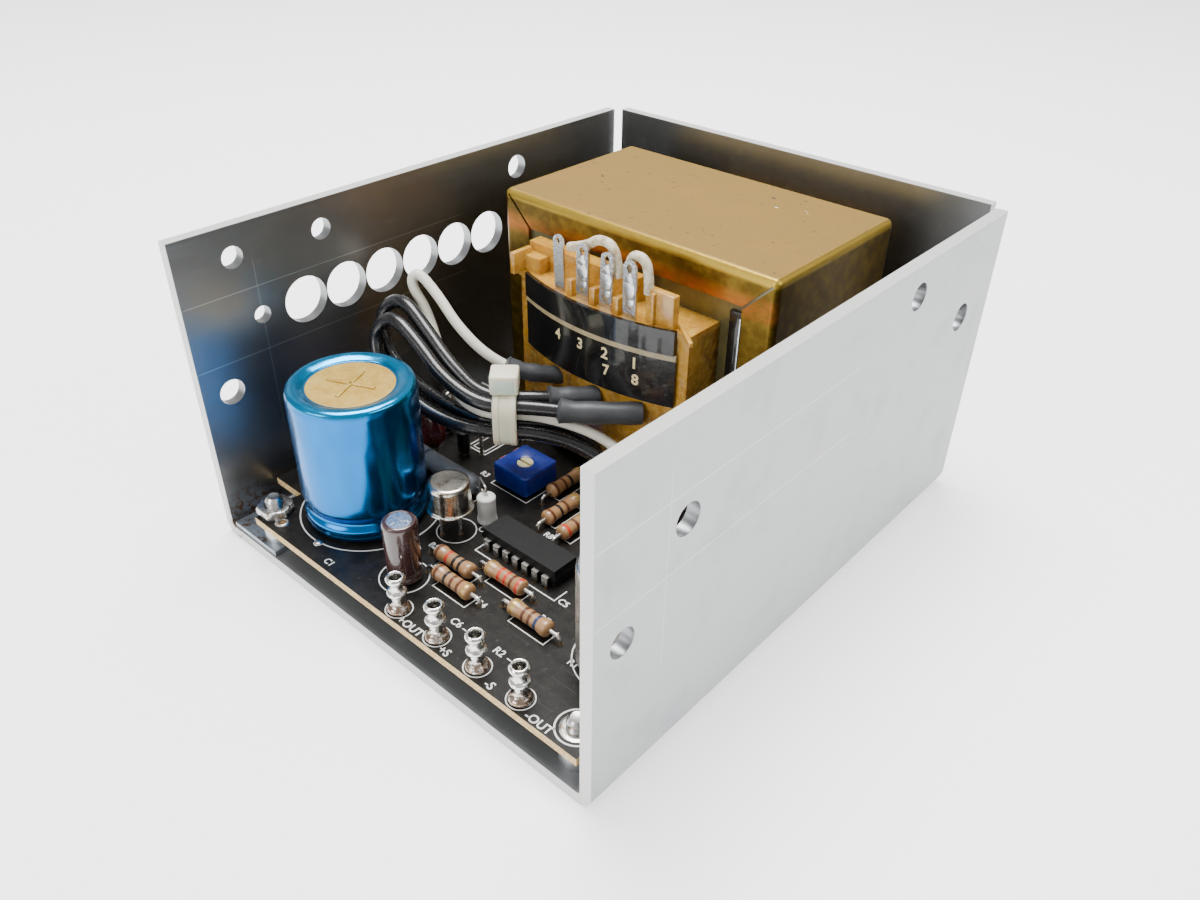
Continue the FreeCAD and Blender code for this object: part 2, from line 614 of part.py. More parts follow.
def make_upright_part():
    """A short white sleeved part on end. Its leads are given back: one goes down, one loops over."""
    profile = [(0, 0), ("upright_body/2", 0), ("upright_body/2", "upright_height-0.5"),
               ("upright_body/2-0.5", "upright_height"), (0, "upright_height")]
    foot = f"({BOARD_TOP}+0.2)"
    keep(turned("upright_part_body", profile, "upright_x", "upright_y", foot), "upright_capacitor")
    end = at("upright_x", "upright_y", TAIL)
    leg = Part.makeCylinder(value("lead_thin") / 2, value(foot) - end[2], Vector(*end))
    drill("upright_x", "upright_y", "lead_thin")
    reach = ("(upright_x-3.6)", "(upright_y+1.6)")
    loop = [at("upright_x", "upright_y", f"{foot}+upright_height"),
            at("upright_x", "upright_y", f"{foot}+upright_height+1.8"),
            at(*reach, f"{foot}+upright_height+1.8"), at(*reach, TAIL)]
    drill(*reach, "lead_thin")
    return [leg, lead(loop, "lead_thin")]


def make_chip():
    """A fourteen-pin chip: a moulded body with sloping sides, and flat pins bent down."""
    body = keep(solid_body("chip_body"), "regulator_chip")
    half_x = "(chip_length/2)"
    half_y = "(chip_body/2)"
    lean = 0.35
    section = [(f"-{half_y}+{lean}", 0), (f"{half_y}-{lean}", 0), (half_y, "chip_thickness/2"),
               (f"{half_y}-{lean}", "chip_thickness"), (f"-{half_y}+{lean}", "chip_thickness"),
               (f"-{half_y}", "chip_thickness/2")]
    pad(body, "chip_pad", sketch(body, "chip_section", "YZ_Plane", [section], offset=f"-{half_x}"),
        "chip_length")
    place(body, "chip_x", "chip_y", f"({BOARD_TOP}+chip_lift)")
    width, thick, blade = 1.4, 0.25, 0.5
    level = value(f"{BOARD_TOP}+chip_lift+chip_thickness/2")
    bottom = value(TAIL)
    pins = []
    for side in (-1, 1):
        row = value(f"chip_y+({side})*chip_rows/2")
        inner = value(f"chip_y+({side})*chip_body/2")
        for i in range(7):
            x = value(f"chip_x+({i}-3)*chip_pitch")
            outer = row + side * thick / 2
            left = x - width / 2
            near = row - thick / 2
            shoulder = Part.makeBox(width, abs(outer - inner), thick,
                                    Vector(left, min(inner, outer), level - thick / 2))
            drop = Part.makeBox(width, thick, 2.1, Vector(left, near, level - 2.0))
            tip = Part.makeBox(blade, thick, level - 1.0 - bottom, Vector(x - blade / 2, near, bottom))
            pins.append(shoulder.fuse([drop, tip]).removeSplitter())
            SQUARE.append((x, row))
    lead_group("regulator_chip_pins", pins)


def make_turrets():
    """Four hollow turret terminals, each staked through the board."""
    names = ["positive_output_turret", "positive_sense_turret", "negative_sense_turret",
             "negative_output_turret"]
    shank, flange, foot, bore = "(turret_shank/2)", "(turret_flange/2)", "(turret_foot/2)", "(turret_bore/2)"
    under = "(-board_thickness)"
    top = "turret_height"
    profile = [(0, f"{under}-0.6"), (f"{flange}-0.2", f"{under}-0.6"), (f"{flange}-0.2", under),
               (shank, under), (shank, 0), (foot, 0), (foot, 1.0), (shank, 1.3), (shank, 3.6), (flange, 3.8),
               (flange, 4.4), (shank, 4.6), (shank, f"{top}-1.4"), (flange, f"{top}-1.1"), (flange, top),
               (bore, top), (bore, 2.0), (0, 2.0)]
    for i, name in enumerate(names):
        x = f"(turret_first+{i}*turret_pitch)"
        keep(turned(name + "_body", profile, x, f"({BOARD_FRONT}+turret_in)", BOARD_TOP), name)


def make_trimmer():
    """A square single-turn trimmer: the housing, its three pins, and the rotor that turns in it."""
    side = "trimmer_side"
    low = f"({BOARD_TOP}+trimmer_lift)"
    shell = box("trimmer_shell", f"trimmer_x-{side}/2", f"trimmer_y-{side}/2", low, side, side,
                "trimmer_height")
    well = rod("trimmer_well", "trimmer_x", "trimmer_y", f"{low}+trimmer_height-rotor_depth",
               "rotor+2*rotor_fit", "rotor_depth+1")
    keep(cut("trimmer_cut", shell, [well]), "trimmer_housing")
    disc = rod("rotor_disc", "trimmer_x", "trimmer_y", f"{low}+trimmer_height-rotor_depth+rotor_fit", "rotor",
               "rotor_depth-rotor_fit-0.15")
    slot_low = f"({low}+trimmer_height-0.15-0.7)"
    slot = box("rotor_groove", "trimmer_x-rotor/2-0.1", "trimmer_y-rotor_slot/2", slot_low, "rotor+0.2",
               "rotor_slot", 1)
    keep(cut("rotor_cut", disc, [slot]), "trimmer_rotor")
    spots = [("-2.54", "-2.54"), ("2.54", "-2.54"), (0, "2.54")]
    pins = straight_legs(("trimmer_x", "trimmer_y"), spots, low, "lead_thin")
    lead_group("trimmer_pins", pins)


def make_disc_capacitor():
    """A dipped disc capacitor on edge: a thick round wafer with two legs."""
    z = f"({BOARD_TOP}+disc_lift+disc_dia/2)"
    wafer = [(0, "-disc_thickness/2"), ("disc_dia/2-0.9", "-disc_thickness/2"), ("disc_dia/2", "-0.5"),
             ("disc_dia/2", "0.5"), ("disc_dia/2-0.9", "disc_thickness/2"), (0, "disc_thickness/2")]
    keep(turned("disc_body", wafer, "disc_x", "disc_y", z, ((1, 0, 0), 90)), "disc_capacitor")
    shapes = []
    for side in (-1, 1):
        x = f"(disc_x+({side})*2.5)"
        top = value(z) - math.sqrt((value("disc_dia/2")) ** 2 - 2.5 ** 2)
        bottom = at(x, "disc_y", TAIL)
        shapes.append(Part.makeCylinder(value("lead_thin") / 2, top - bottom[2] - 0.15, Vector(*bottom)))
        drill(x, "disc_y", "lead_thin")
    lead_group("disc_capacitor_leads", shapes)


def make_diodes():
    """Four rectifier diodes on end: black bodies, each with a lead looped over from its top."""
    rows = [("-25.2", "-17.2", "2.6", "2.6"), ("-34.2", "-14.0", "0", "3.8"), ("-32.6", "-5.2", "3.6", "0"),
            ("-22.6", "-5.4", "3.6", "0")]
    z = f"({BOARD_TOP}+diode_lift)"
    wires = []
    bodies = []
    for number, (x, y, dx, dy) in enumerate(rows, start=1):
        profile = [(0, 0), ("diode_dia/2-0.2", 0), ("diode_dia/2", 0.2), ("diode_dia/2", "diode_height-0.2"),
                   ("diode_dia/2-0.2", "diode_height"), (0, "diode_height")]
        bodies.append(turned(f"diode_{number}_body", profile, x, y, z))
        top = f"{z}+diode_height"
        far = (f"({x}+{dx})", f"({y}+{dy})")
        below = value(z) - value(TAIL)
        wires.append(Part.makeCylinder(value("lead_mid") / 2, below, Vector(*at(x, y, TAIL))))
        wires.append(lead([at(x, y, top), at(x, y, f"{top}+1.7"), at(*far, f"{top}+1.7"), at(*far, TAIL)],
                          "lead_mid"))
        drill(x, y, "lead_mid")
        drill(*far, "lead_mid")
    group("rectifier_diodes", bodies)
    lead_group("rectifier_leads", wires)


def make_pass_transistor():
    """The pass transistor: tab down on the base under the board, over a mica pad, held by a stud and nut."""
    low = "(sheet+pad_thickness)"
    x0 = "(pass_x-tab_width/2)"
    y0 = "(pass_y-tab_length/2)"
    pad_box = box("mica", f"{x0}-1", f"{y0}-1", "sheet", "tab_width+2", "tab_length+2", "pad_thickness")
    pad_hole = rod("mica_hole", "pass_x", PASS_HOLE_Y, "sheet-1", "stud+0.4", 3)
    keep(cut("mica_cut", pad_box, [pad_hole]), "insulating_pad")
    tab = box("tab", x0, y0, low, "tab_width", "tab_length", "tab_thickness")
    tab_hole = rod("tab_hole", "pass_x", PASS_HOLE_Y, "sheet-1", "stud+0.6", 6)
    keep(cut("tab_cut", tab, [tab_hole]), "pass_transistor_tab")
    keep(box("pass_case", x0, y0, f"({low}+tab_thickness)", "tab_width", "case_length",
             "case_thickness-tab_thickness"), "pass_transistor_case")


def make_board():
    """The board: an outline with a notch at its front left corner, and a hole for every lead."""
    body = keep(solid_body("board_body"), "circuit_board")
    outline = [(f"({BOARD_LEFT}+board_notch_width)", BOARD_FRONT), (BOARD_RIGHT, BOARD_FRONT),
               (BOARD_RIGHT, BOARD_BACK), (BOARD_LEFT, BOARD_BACK),
               (BOARD_LEFT, f"({BOARD_FRONT}+board_notch_depth)"),
               (f"({BOARD_LEFT}+board_notch_width)", f"({BOARD_FRONT}+board_notch_depth)")]
    pad(body, "board_pad", sketch(body, "board_outline", "XY_Plane", [outline]), "board_thickness")
    holes = [(x, y, f"{d}+2*hole_slack") for x, y, d in DRILLED]
    holes += [(x, y, "0.9") for x, y in SQUARE]
    holes += [(f"(turret_first+{i}*turret_pitch)", f"({BOARD_FRONT}+turret_in)", "turret_shank+0.1")
              for i in range(4)]
    holes += [(x, y, "stud+stud_slack") for x, y in BOARD_STUDS]
    holes += [(f"({BOARD_STUDS[0][0]}+eyelet_out)", f"({BOARD_STUDS[0][1]}-eyelet_forward)", "eyelet_hole")]
    pocket(body, "board_holes", sketch(body, "board_circles", "XY_Plane", [], holes), "board_thickness", True)
    return place(body, 0, 0, BOARD_BOTTOM)


def make_solder():
    """A small cone of solder round every lead, on the board's underside."""
    shapes = []
    z = value(BOARD_BOTTOM)
    tall = value("solder_height")
    joints = [(value(x), value(y), value(d) / 2) for x, y, d in DRILLED] + [(x, y, 0.35) for x, y in SQUARE]
    spread = value("hole_slack+solder_foot")
    for x, y, r in joints:
        cone = Part.makeCone(r + 0.15, r + spread, tall, Vector(x, y, z - tall))
        shapes.append(cone.cut(Part.makeCylinder(r + 0.01, tall + 2, Vector(x, y, z - tall - 1))))
    lead_group("solder_joints", shapes)

# ---------------------------------------------------------------- transformer

HALF_LEG = f"({LEG}/2)"
COIL_FRONT = "(core_front-coil_reach)"
BULGE_FRONT = "(core_front-coil_reach-bulge)"
BULGE_Y = "(core_front-coil_reach-bulge+bulge_radius)"
FLANGE_HALF = f"({HALF_LEG}+{WINDOW}-bobbin_fit)"


def make_core():
    """The lamination stack with its two windows, and the fibre pad under it."""
    x0 = "(core_x-core_width/2)"
    stack = box("core_block", x0, "core_front", CORE_BOTTOM, "core_width", "core_depth", "core_height")
    windows = [box(f"core_window_{i}", x, "core_front-1", FLANGE_BOTTOM, WINDOW, "core_depth+2",
                   f"core_height-2*{WINDOW}")
               for i, x in enumerate([f"{x0}+{WINDOW}", f"core_x+{HALF_LEG}"], start=1)]
    keep(cut("core_cut", stack, windows), "transformer_core")
    keep(box("core_pad_sheet", x0, "core_front", "sheet", "core_width", "core_depth", "core_pad"),
         "transformer_pad")


def make_cover():
    """The folded brass-coloured frame round the core: top, two sides, mitred lips, and two feet."""
    wide = "(core_width+2*cover_sheet)"
    deep = "(core_depth+2*cover_sheet)"
    tall = f"({COVER_TOP}-sheet)"
    back = f"({COVER_FRONT}+{deep})"
    body = solid_body("cover_shell")
    corners = [(COVER_LEFT, COVER_FRONT), (COVER_RIGHT, COVER_FRONT), (COVER_RIGHT, back), (COVER_LEFT, back)]
    pad(body, "cover_pad", sketch(body, "cover_outline", "XY_Plane", [corners]), tall)
    fillet(body, "cover_upright_bends", 2, corners, "cover_bend")
    fillet(body, "cover_top_bends", 0, [(COVER_FRONT, tall), (back, tall)], "cover_bend")
    shell = place(body, 0, 0, "sheet")
    inside = box("cover_inside", "core_x-core_width/2", "core_front", "sheet-1", "core_width", "core_depth",
                 f"{CORE_TOP}-sheet+1")
    window = box("cover_window", f"{COVER_LEFT}+cover_lip", f"{COVER_FRONT}-1", "sheet-1",
                 f"{wide}-2*cover_lip", f"{deep}+2", f"{tall}-cover_lip+1")
    slits = []
    for i, (x, angle) in enumerate([(COVER_LEFT, 45), (COVER_RIGHT, 135)]):
        for j, y in enumerate([f"{COVER_FRONT}-1", CORE_BACK]):
            slit = new("Part::Box", f"cover_slit_{i}{j}", Length="cover_lip*1.6", Width="cover_sheet+1",
                       Height="cover_slit")
            side = 1 if i == 0 else -1
            place(slit, f"{x}+({side})*1.2", y, f"{COVER_TOP}-1.2", ((0, 1, 0), angle))
            slits.append(slit)
    blank = cut("cover_blank", shell, [inside, window] + slits)
    y0 = "(core_front+core_depth/2-foot_width/2)"
    feet = [box("cover_foot_left", f"{COVER_LEFT}-foot_reach", y0, "sheet", "foot_reach+cover_sheet",
                "foot_width", "cover_sheet"),
            box("cover_foot_right", f"{COVER_RIGHT}-cover_sheet", y0, "sheet", "foot_reach+cover_sheet",
                "foot_width", "cover_sheet")]
    holes = [rod(f"cover_foot_hole_{i}", x, y, "sheet-1", "foot_stud+0.4", "cover_sheet+2")
             for i, (x, y) in enumerate(FOOT_STUDS)]
    keep(cut("cover_cut", join("cover_joined", [blank] + feet), holes), "transformer_cover")
    stud_top = "(sheet+foot_stud_out)"
    group("transformer_studs", [stud(f"transformer_stud_{i}", x, y, "foot_stud", "foot_stud_head", stud_top)
                                for i, (x, y) in enumerate(FOOT_STUDS, start=1)])
    group("transformer_nuts", [hexagon(f"transformer_nut_{i}", x, y, "(sheet+cover_sheet)", "foot_nut_flats",
                                       "foot_nut_height", "foot_stud+0.1")
                               for i, (x, y) in enumerate(FOOT_STUDS, start=1)])


def bulge_slab(name, z, height, half, radius):
    """The part of an upright cylinder that stands out in front of the coil's straight front."""
    column = rod(name + "_column", "core_x", BULGE_Y, z, f"2*({radius})", height)
    limit = box(name + "_limit", f"core_x-{half}", f"{BULGE_Y}-({radius})-1", z, f"2*({half})",
                f"bulge+2.5+({radius})-bulge_radius", height)
    return common(name, column, limit)


def make_bobbin():
    """The moulded former: a square tube round the centre leg, two flanges, and the terminal ledge."""
    tube_half = f"({HALF_LEG}+bobbin_fit+bobbin_wall)"
    tube_front = "(core_front-bobbin_fit-bobbin_wall)"
    tube_deep = "(core_depth+2*bobbin_fit+2*bobbin_wall)"
    tall = f"({FLANGE_TOP}-{FLANGE_BOTTOM})"
    parts = [box("bobbin_tube", f"core_x-{tube_half}", tube_front, FLANGE_BOTTOM, f"2*{tube_half}", tube_deep,
                 tall)]
    for i, z in enumerate([FLANGE_BOTTOM, f"({FLANGE_TOP}-bobbin_wall)"]):
        parts.append(box(f"bobbin_flange_{i}", f"core_x-{FLANGE_HALF}", COIL_FRONT, z, f"2*{FLANGE_HALF}",
                         "core_depth+2*coil_reach", "bobbin_wall"))
        parts.append(bulge_slab(f"bobbin_bulge_{i}", z, "bobbin_wall", FLANGE_HALF, "bulge_radius"))
    parts.append(box("bobbin_ledge", f"core_x-{FLANGE_HALF}", f"{COIL_FRONT}+3.4", f"{FLANGE_TOP}-0.2",
                     f"{FLANGE_HALF}+6", "3.2", "5.2"))
    parts.append(box("bobbin_end_block", f"core_x-{FLANGE_HALF}", f"{COIL_FRONT}+0.6", f"{FLANGE_TOP}-0.2",
                     "5.5", "3.2", "3.4"))
    bore = box("bobbin_bore", f"core_x-{HALF_LEG}-bobbin_fit", "core_front-bobbin_fit", f"{FLANGE_BOTTOM}-1",
               f"2*({HALF_LEG}+bobbin_fit)", "core_depth+2*bobbin_fit", f"{tall}+2")
    keep(cut("bobbin_cut", join("bobbin_joined", parts), [bore]), "bobbin")


COIL_RADIUS = "(bulge_radius-0.4)"


def make_coil(routes):
    """The winding between the flanges, with a blind hole where each lead comes out of it."""
    half = f"({FLANGE_HALF}-0.4)"
    low = f"({FLANGE_BOTTOM}+bobbin_wall)"
    tall = f"({FLANGE_TOP}-{FLANGE_BOTTOM}-2*bobbin_wall)"
    tube_half = f"({HALF_LEG}+bobbin_fit+bobbin_wall)"
    block = box("coil_block", f"core_x-{half}", f"{COIL_FRONT}+0.4", low, f"2*{half}",
                "core_depth+2*coil_reach-0.8", tall)
    front = bulge_slab("coil_bulge", low, tall, half, COIL_RADIUS)
    bore = box("coil_bore", f"core_x-{tube_half}", "core_front-bobbin_fit-bobbin_wall", f"{low}-1",
               f"2*{tube_half}", "core_depth+2*bobbin_fit+2*bobbin_wall", f"{tall}+2")
    exits = []
    for name, (points, diameter) in routes.items():
        start = Vector(*points[0])
        ahead = (Vector(*points[1]) - start).normalize()
        hole = doc.addObject("Part::Cylinder", name + "_exit")
        hole.setExpression("Radius", sized(f"{diameter}/2+sleeve_fit+sleeve_wall+0.1"))
        hole.Height = 12
        hole.Placement = Placement(start, Rotation(Vector(0, 0, 1), ahead))
        exits.append(hole)
    keep(cut("coil_cut", join("coil_joined", [block, front]), [bore] + exits), "coil")


def band(label, top, height, inner, half):
    """A strip of tape that follows the coil's bulged front."""
    outer = f"({inner}+band_thickness)"
    arc = bulge_slab(label + "_outer", f"({top}-{height})", height, half, outer)
    core = rod(label + "_core", "core_x", BULGE_Y, f"{top}-{height}-1", f"2*{inner}", f"{height}+2")
    behind = box(label + "_behind", f"core_x-{half}-1", COIL_FRONT, f"{top}-{height}-1", f"2*{half}+2", 9,
                 f"{height}+2")
    keep(cut(label + "_cut", arc, [core, behind]), label)


def make_bands():
    """The black upper band over the flange's edge, the pale strip under it, and the numbered band."""
    top = f"({FLANGE_TOP}+upper_band_top)"
    band("upper_band", top, "upper_band_height", "bulge_radius", "19.2")
    second = f"({top}-upper_band_height)"
    band("paper_strip", second, "strip_height", COIL_RADIUS, "19.4")
    band("number_band", f"({second}-strip_height)", "lower_band_height", COIL_RADIUS, "19.4")


def make_lugs():
    """Four upright solder lugs on the upper flange, and two white wire links behind them."""
    y = f"({BULGE_FRONT}+2.0)"
    plates = []
    places = []
    for i in range(int(value("lug_count"))):
        x = f"(core_x+0.2+({i}-1.5)*lug_pitch)"
        plate = box(f"lug_plate_{i}", f"{x}-lug_width/2", f"{y}-lug_thickness/2", FLANGE_TOP, "lug_width",
                    "lug_thickness", "lug_height")
        hole = rod(f"lug_eye_{i}", x, f"{y}+2", f"{FLANGE_TOP}+lug_height-2", "lug_hole", 4, ((1, 0, 0), 90))
        plates.append(cut(f"lug_{i}", plate, [hole]))
        places.append(value(x))
    group("terminal_lugs", plates)
    back = value(y) + 1.7
    top = value(f"{FLANGE_TOP}+lug_height")
    size = 1.9
    first = [(places[0] + 0.9, back, top - 2.6), (places[1] - 0.6, back, top - 1.2),
             (places[1] + 2.7, back, top + 1.4), (places[2] + 1.2, back, top + 0.4),
             (places[2] + 1.5, back, top - 5.0)]
    second = [(places[2] + 3.9, back, top - 4.5), (places[2] + 4.1, back, top + 0.2),
              (places[3] + 1.4, back, top + 0.7), (places[3] + 2.9, back, top - 1.6),
              (places[3] + 3.0, back, top - 6.0)]
    lead_group("lug_links", [round_wire(points, size)[0] for points in (first, second)])


# ---------------------------------------------------------------- leads and tie

# The routes' points are chosen by hand, from the coil's front round to the board.
ROUTES = {
    "black_lead_1": ([(11.2, -2.2, 28.4), (3.4, -10.2, 28.6), (-4.6, -17.5, 30.0), (-11.4, -23.5, 30.1),
                      (-20.3, -25.0, 33.0), (-29.0, -23.8, 37.4), (-37.2, -23.4, 41.0), (-41.8, -24.8, 36.0),
                      (-38.3, -27.2, 30.2), (-30.2, -27.4, 27.0), (-20.6, -27.0, 25.0), (-11.4, -23.5, 24.3),
                      (-4.6, -17.5, 24.4), (2.0, -11.6, 22.0), (8.6, -8.6, 18.4), (10.2, -6.8, 13.2),
                      (10.2, -6.8, 8.0)], "lead_black"),
    "black_lead_2": ([(0.6, -3.4, 28.4), (-3.0, -9.2, 29.0), (-6.8, -15.1, 30.1), (-13.6, -21.1, 30.0),
                      (-22.0, -21.6, 34.2), (-30.4, -20.3, 38.6), (-38.6, -19.5, 43.0), (-44.4, -20.8, 38.4),
                      (-41.8, -22.8, 31.6), (-33.6, -23.5, 27.8), (-23.6, -23.0, 25.4), (-13.6, -21.1, 24.4),
                      (-6.8, -15.1, 24.3), (-1.8, -9.6, 23.2), (3.2, -6.9, 19.2), (4.6, -6.3, 13.8),
                      (4.6, -6.3, 8.0)], "lead_black"),
    "white_lead": ([(-10.4, -1.9, 28.4), (-14.0, -8.4, 29.8), (-19.6, -13.4, 33.4), (-26.2, -15.4, 38.6),
                    (-32.6, -15.0, 43.8), (-38.0, -15.4, 47.6), (-39.2, -16.6, 44.8), (-35.4, -16.0, 40.0),
                    (-30.6, -17.8, 35.2), (-25.0, -20.6, 31.4), (-18.9, -22.9, 28.8), (-12.4, -22.3, 27.2),
                    (-5.8, -16.3, 27.3), (0.8, -10.6, 25.2), (8.4, -7.6, 22.8), (14.4, -7.0, 18.6),
                    (15.6, -6.8, 13.4), (15.6, -6.8, 8.0)], "lead_white"),
}
TIE_CENTRE = (-9.1, -19.3, 27.2)
TIE_HEADING = 41.8


def make_leads():
    """Three insulated leads, and the grey sleeve on each where it leaves the coil."""
    sleeves = []
    for name, (points, diameter) in ROUTES.items():
        size = value(diameter)
        shape, radii, length = round_wire(points, size)
        print(name, "length", round(length, 1), "radii", [round(r, 1) for r in radii])
        feature(name, shape)
        first, corner, third = (Vector(*p) for p in points[:3])
        run = [first, corner, corner + (third - corner) * value("sleeve_share")]
        bore = size + 2 * value("sleeve_fit")
        inner = round_wire(run, bore, radii[0])[0]
        outer = round_wire(run, bore + 2 * value("sleeve_wall"), radii[0])[0]
        sleeves.append(outer.cut(inner))
    lead_group("lead_sleeves", sleeves)


def make_tie():
    """A nylon cable tie: a rounded loop of flat strap round the bundle, and its square head on top."""
    wide = value("tie_width")
    thick = value("tie_thickness")
    half_across, half_up, corner = 3.45, 4.65, 2.2

    def ring(grow):
        loop = Part.makeBox(wide, 2 * (half_across + grow), 2 * (half_up + grow),
                            Vector(-wide / 2, -half_across - grow, -half_up - grow))
        upright = [e for e in loop.Edges if abs(e.tangentAt(e.FirstParameter).x) > 0.99]
        return loop.makeFillet(corner + grow, upright)

    strap = ring(thick).cut(ring(0))
    head = Part.makeBox(5.6, 5.4, 4.2, Vector(-2.8, -2.7, half_up + thick))
    spot = Placement(Vector(*TIE_CENTRE), Rotation(Vector(0, 0, 1), TIE_HEADING))
    for name, shape in (("cable_tie_strap", strap), ("cable_tie_head", head)):
        feature(name, shape, spot)


# ---------------------------------------------------------------- build, check and write

make_chassis()
make_fixings()
make_corner_plate()
make_resistors()
make_filter_capacitor()
can_leads = small_can("small_capacitor", "small_x", "small_y", "small_can", "small_height", "2.5",
                      "lead_thin")
can_leads += small_can("side_capacitor", "side_x", "side_y", "side_can", "side_height", "7.5", "lead_mid")
make_metal_transistor()
lead_group("capacitor_leads", can_leads + make_upright_part())
make_chip()
make_turrets()
make_trimmer()
make_disc_capacitor()
make_diodes()
make_pass_transistor()
for route, width in ROUTES.values():
    drill(str(route[-1][0]), str(route[-1][1]), width)
make_board()
make_solder()
make_core()
make_cover()
make_bobbin()
make_coil(ROUTES)
make_bands()
make_lugs()
make_leads()
make_tie()

doc.recompute()
for item in doc.Objects:
    if "Invalid" in item.State or "Error" in item.State:
        raise RuntimeError(f"{item.Label} failed: {item.State}")
os.makedirs("parts", exist_ok=True)
for item in NODES:
    if item.Shape.isNull() or not item.Shape.isValid():
        raise RuntimeError(f"{item.Label} has no valid shape")
    item.Shape.exportStep(f"parts/{item.Label}.step")
print(len(NODES), "sub-parts")
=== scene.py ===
"""Looks of an open-frame linear power supply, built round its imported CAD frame.

Places and sizes are in millimetres and come from the frame's own boxes; MM turns
them into metres. Every piece's vertices are in the row frame, so a material's
object coordinates are the row frame's too.
"""

import math
import random

import bmesh
import bpy
from mathutils import Matrix, Vector


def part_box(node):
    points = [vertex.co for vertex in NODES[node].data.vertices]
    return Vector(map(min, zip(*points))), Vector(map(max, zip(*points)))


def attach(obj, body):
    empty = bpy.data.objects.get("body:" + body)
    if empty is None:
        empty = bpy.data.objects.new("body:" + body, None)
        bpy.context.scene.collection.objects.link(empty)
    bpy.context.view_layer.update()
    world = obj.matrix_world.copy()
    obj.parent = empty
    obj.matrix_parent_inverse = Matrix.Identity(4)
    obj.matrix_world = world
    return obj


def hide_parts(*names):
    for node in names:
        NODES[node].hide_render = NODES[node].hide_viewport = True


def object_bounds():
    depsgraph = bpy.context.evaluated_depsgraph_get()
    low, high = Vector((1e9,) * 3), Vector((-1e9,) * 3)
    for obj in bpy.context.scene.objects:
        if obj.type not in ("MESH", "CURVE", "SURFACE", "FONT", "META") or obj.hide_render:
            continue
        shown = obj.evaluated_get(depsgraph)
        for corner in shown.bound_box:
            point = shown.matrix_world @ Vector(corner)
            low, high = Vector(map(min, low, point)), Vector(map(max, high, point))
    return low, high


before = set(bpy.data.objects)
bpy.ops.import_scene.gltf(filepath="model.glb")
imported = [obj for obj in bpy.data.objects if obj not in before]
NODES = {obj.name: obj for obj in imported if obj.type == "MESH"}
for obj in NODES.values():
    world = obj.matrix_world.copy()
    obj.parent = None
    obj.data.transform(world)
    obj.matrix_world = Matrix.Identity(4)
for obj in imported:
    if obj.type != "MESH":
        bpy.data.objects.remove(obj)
CAD_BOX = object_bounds()
ROOT = "power_supply"
MM = 0.001
# The object's own lowest and highest corner, in millimetres.
LOW, HIGH = (Vector(corner) / MM for corner in CAD_BOX)
TURRETS = [name + "_turret" for name in ("positive_output", "positive_sense", "negative_sense",
                                         "negative_output")]


# ---- camera, lights and floor

# Where the camera stands (in millimetres), and how it looks: degrees round from
# +Y, degrees below the horizon, and a slight tilt.
CAMERA_AT = (113.6, -130.9, 131.0)
CAMERA_TURN = 41.32
CAMERA_DOWN = 34.15
CAMERA_TILT = 0.90
CAMERA_LENS = 29.85
# The lights' common target, in metres.
LIGHTS_AIM = Vector((0, 0, 0.03))


def make_camera():
    """The camera, at the place and angles named above."""
    data = bpy.data.cameras.new("camera")
    data.lens = CAMERA_LENS
    data.clip_start = 0.005
    camera = bpy.data.objects.new("camera", data)
    turn = Matrix.Rotation(math.radians(CAMERA_TURN), 4, "Z")
    dip = Matrix.Rotation(math.radians(90 - CAMERA_DOWN), 4, "X")
    tilt = Matrix.Rotation(math.radians(CAMERA_TILT), 4, "Z")
    camera.matrix_world = Matrix.Translation(Vector(CAMERA_AT) * MM) @ turn @ dip @ tilt
    bpy.context.scene.collection.objects.link(camera)
    bpy.context.scene.camera = camera


def softbox(name, place, size, power):
    """A square area light at a place in metres, aimed at the middle of the object."""
    data = bpy.data.lights.new(name, "AREA")
    data.size = size
    data.energy = power
    lamp = bpy.data.objects.new(name, data)
    lamp.location = place
    lamp.rotation_euler = (LIGHTS_AIM - Vector(place)).to_track_quat("-Z", "Y").to_euler()
    bpy.context.scene.collection.objects.link(lamp)


def make_lights():
    """An even white studio, with a soft light above, one in front and one at the right."""
    world = bpy.data.worlds.new("studio")
    world.use_nodes = True
    background = world.node_tree.nodes["Background"]
    background.inputs["Color"].default_value = (1.0, 0.99, 0.97, 1)
    background.inputs["Strength"].default_value = 0.8
    bpy.context.scene.world = world
    softbox("top_light", (-0.15, 0.10, 0.80), 0.45, 15)
    softbox("front_light", (-0.15, -0.85, 0.45), 0.4, 3.5)
    softbox("right_light", (0.85, 0.20, 0.45), 0.5, 4)


# ---- materials

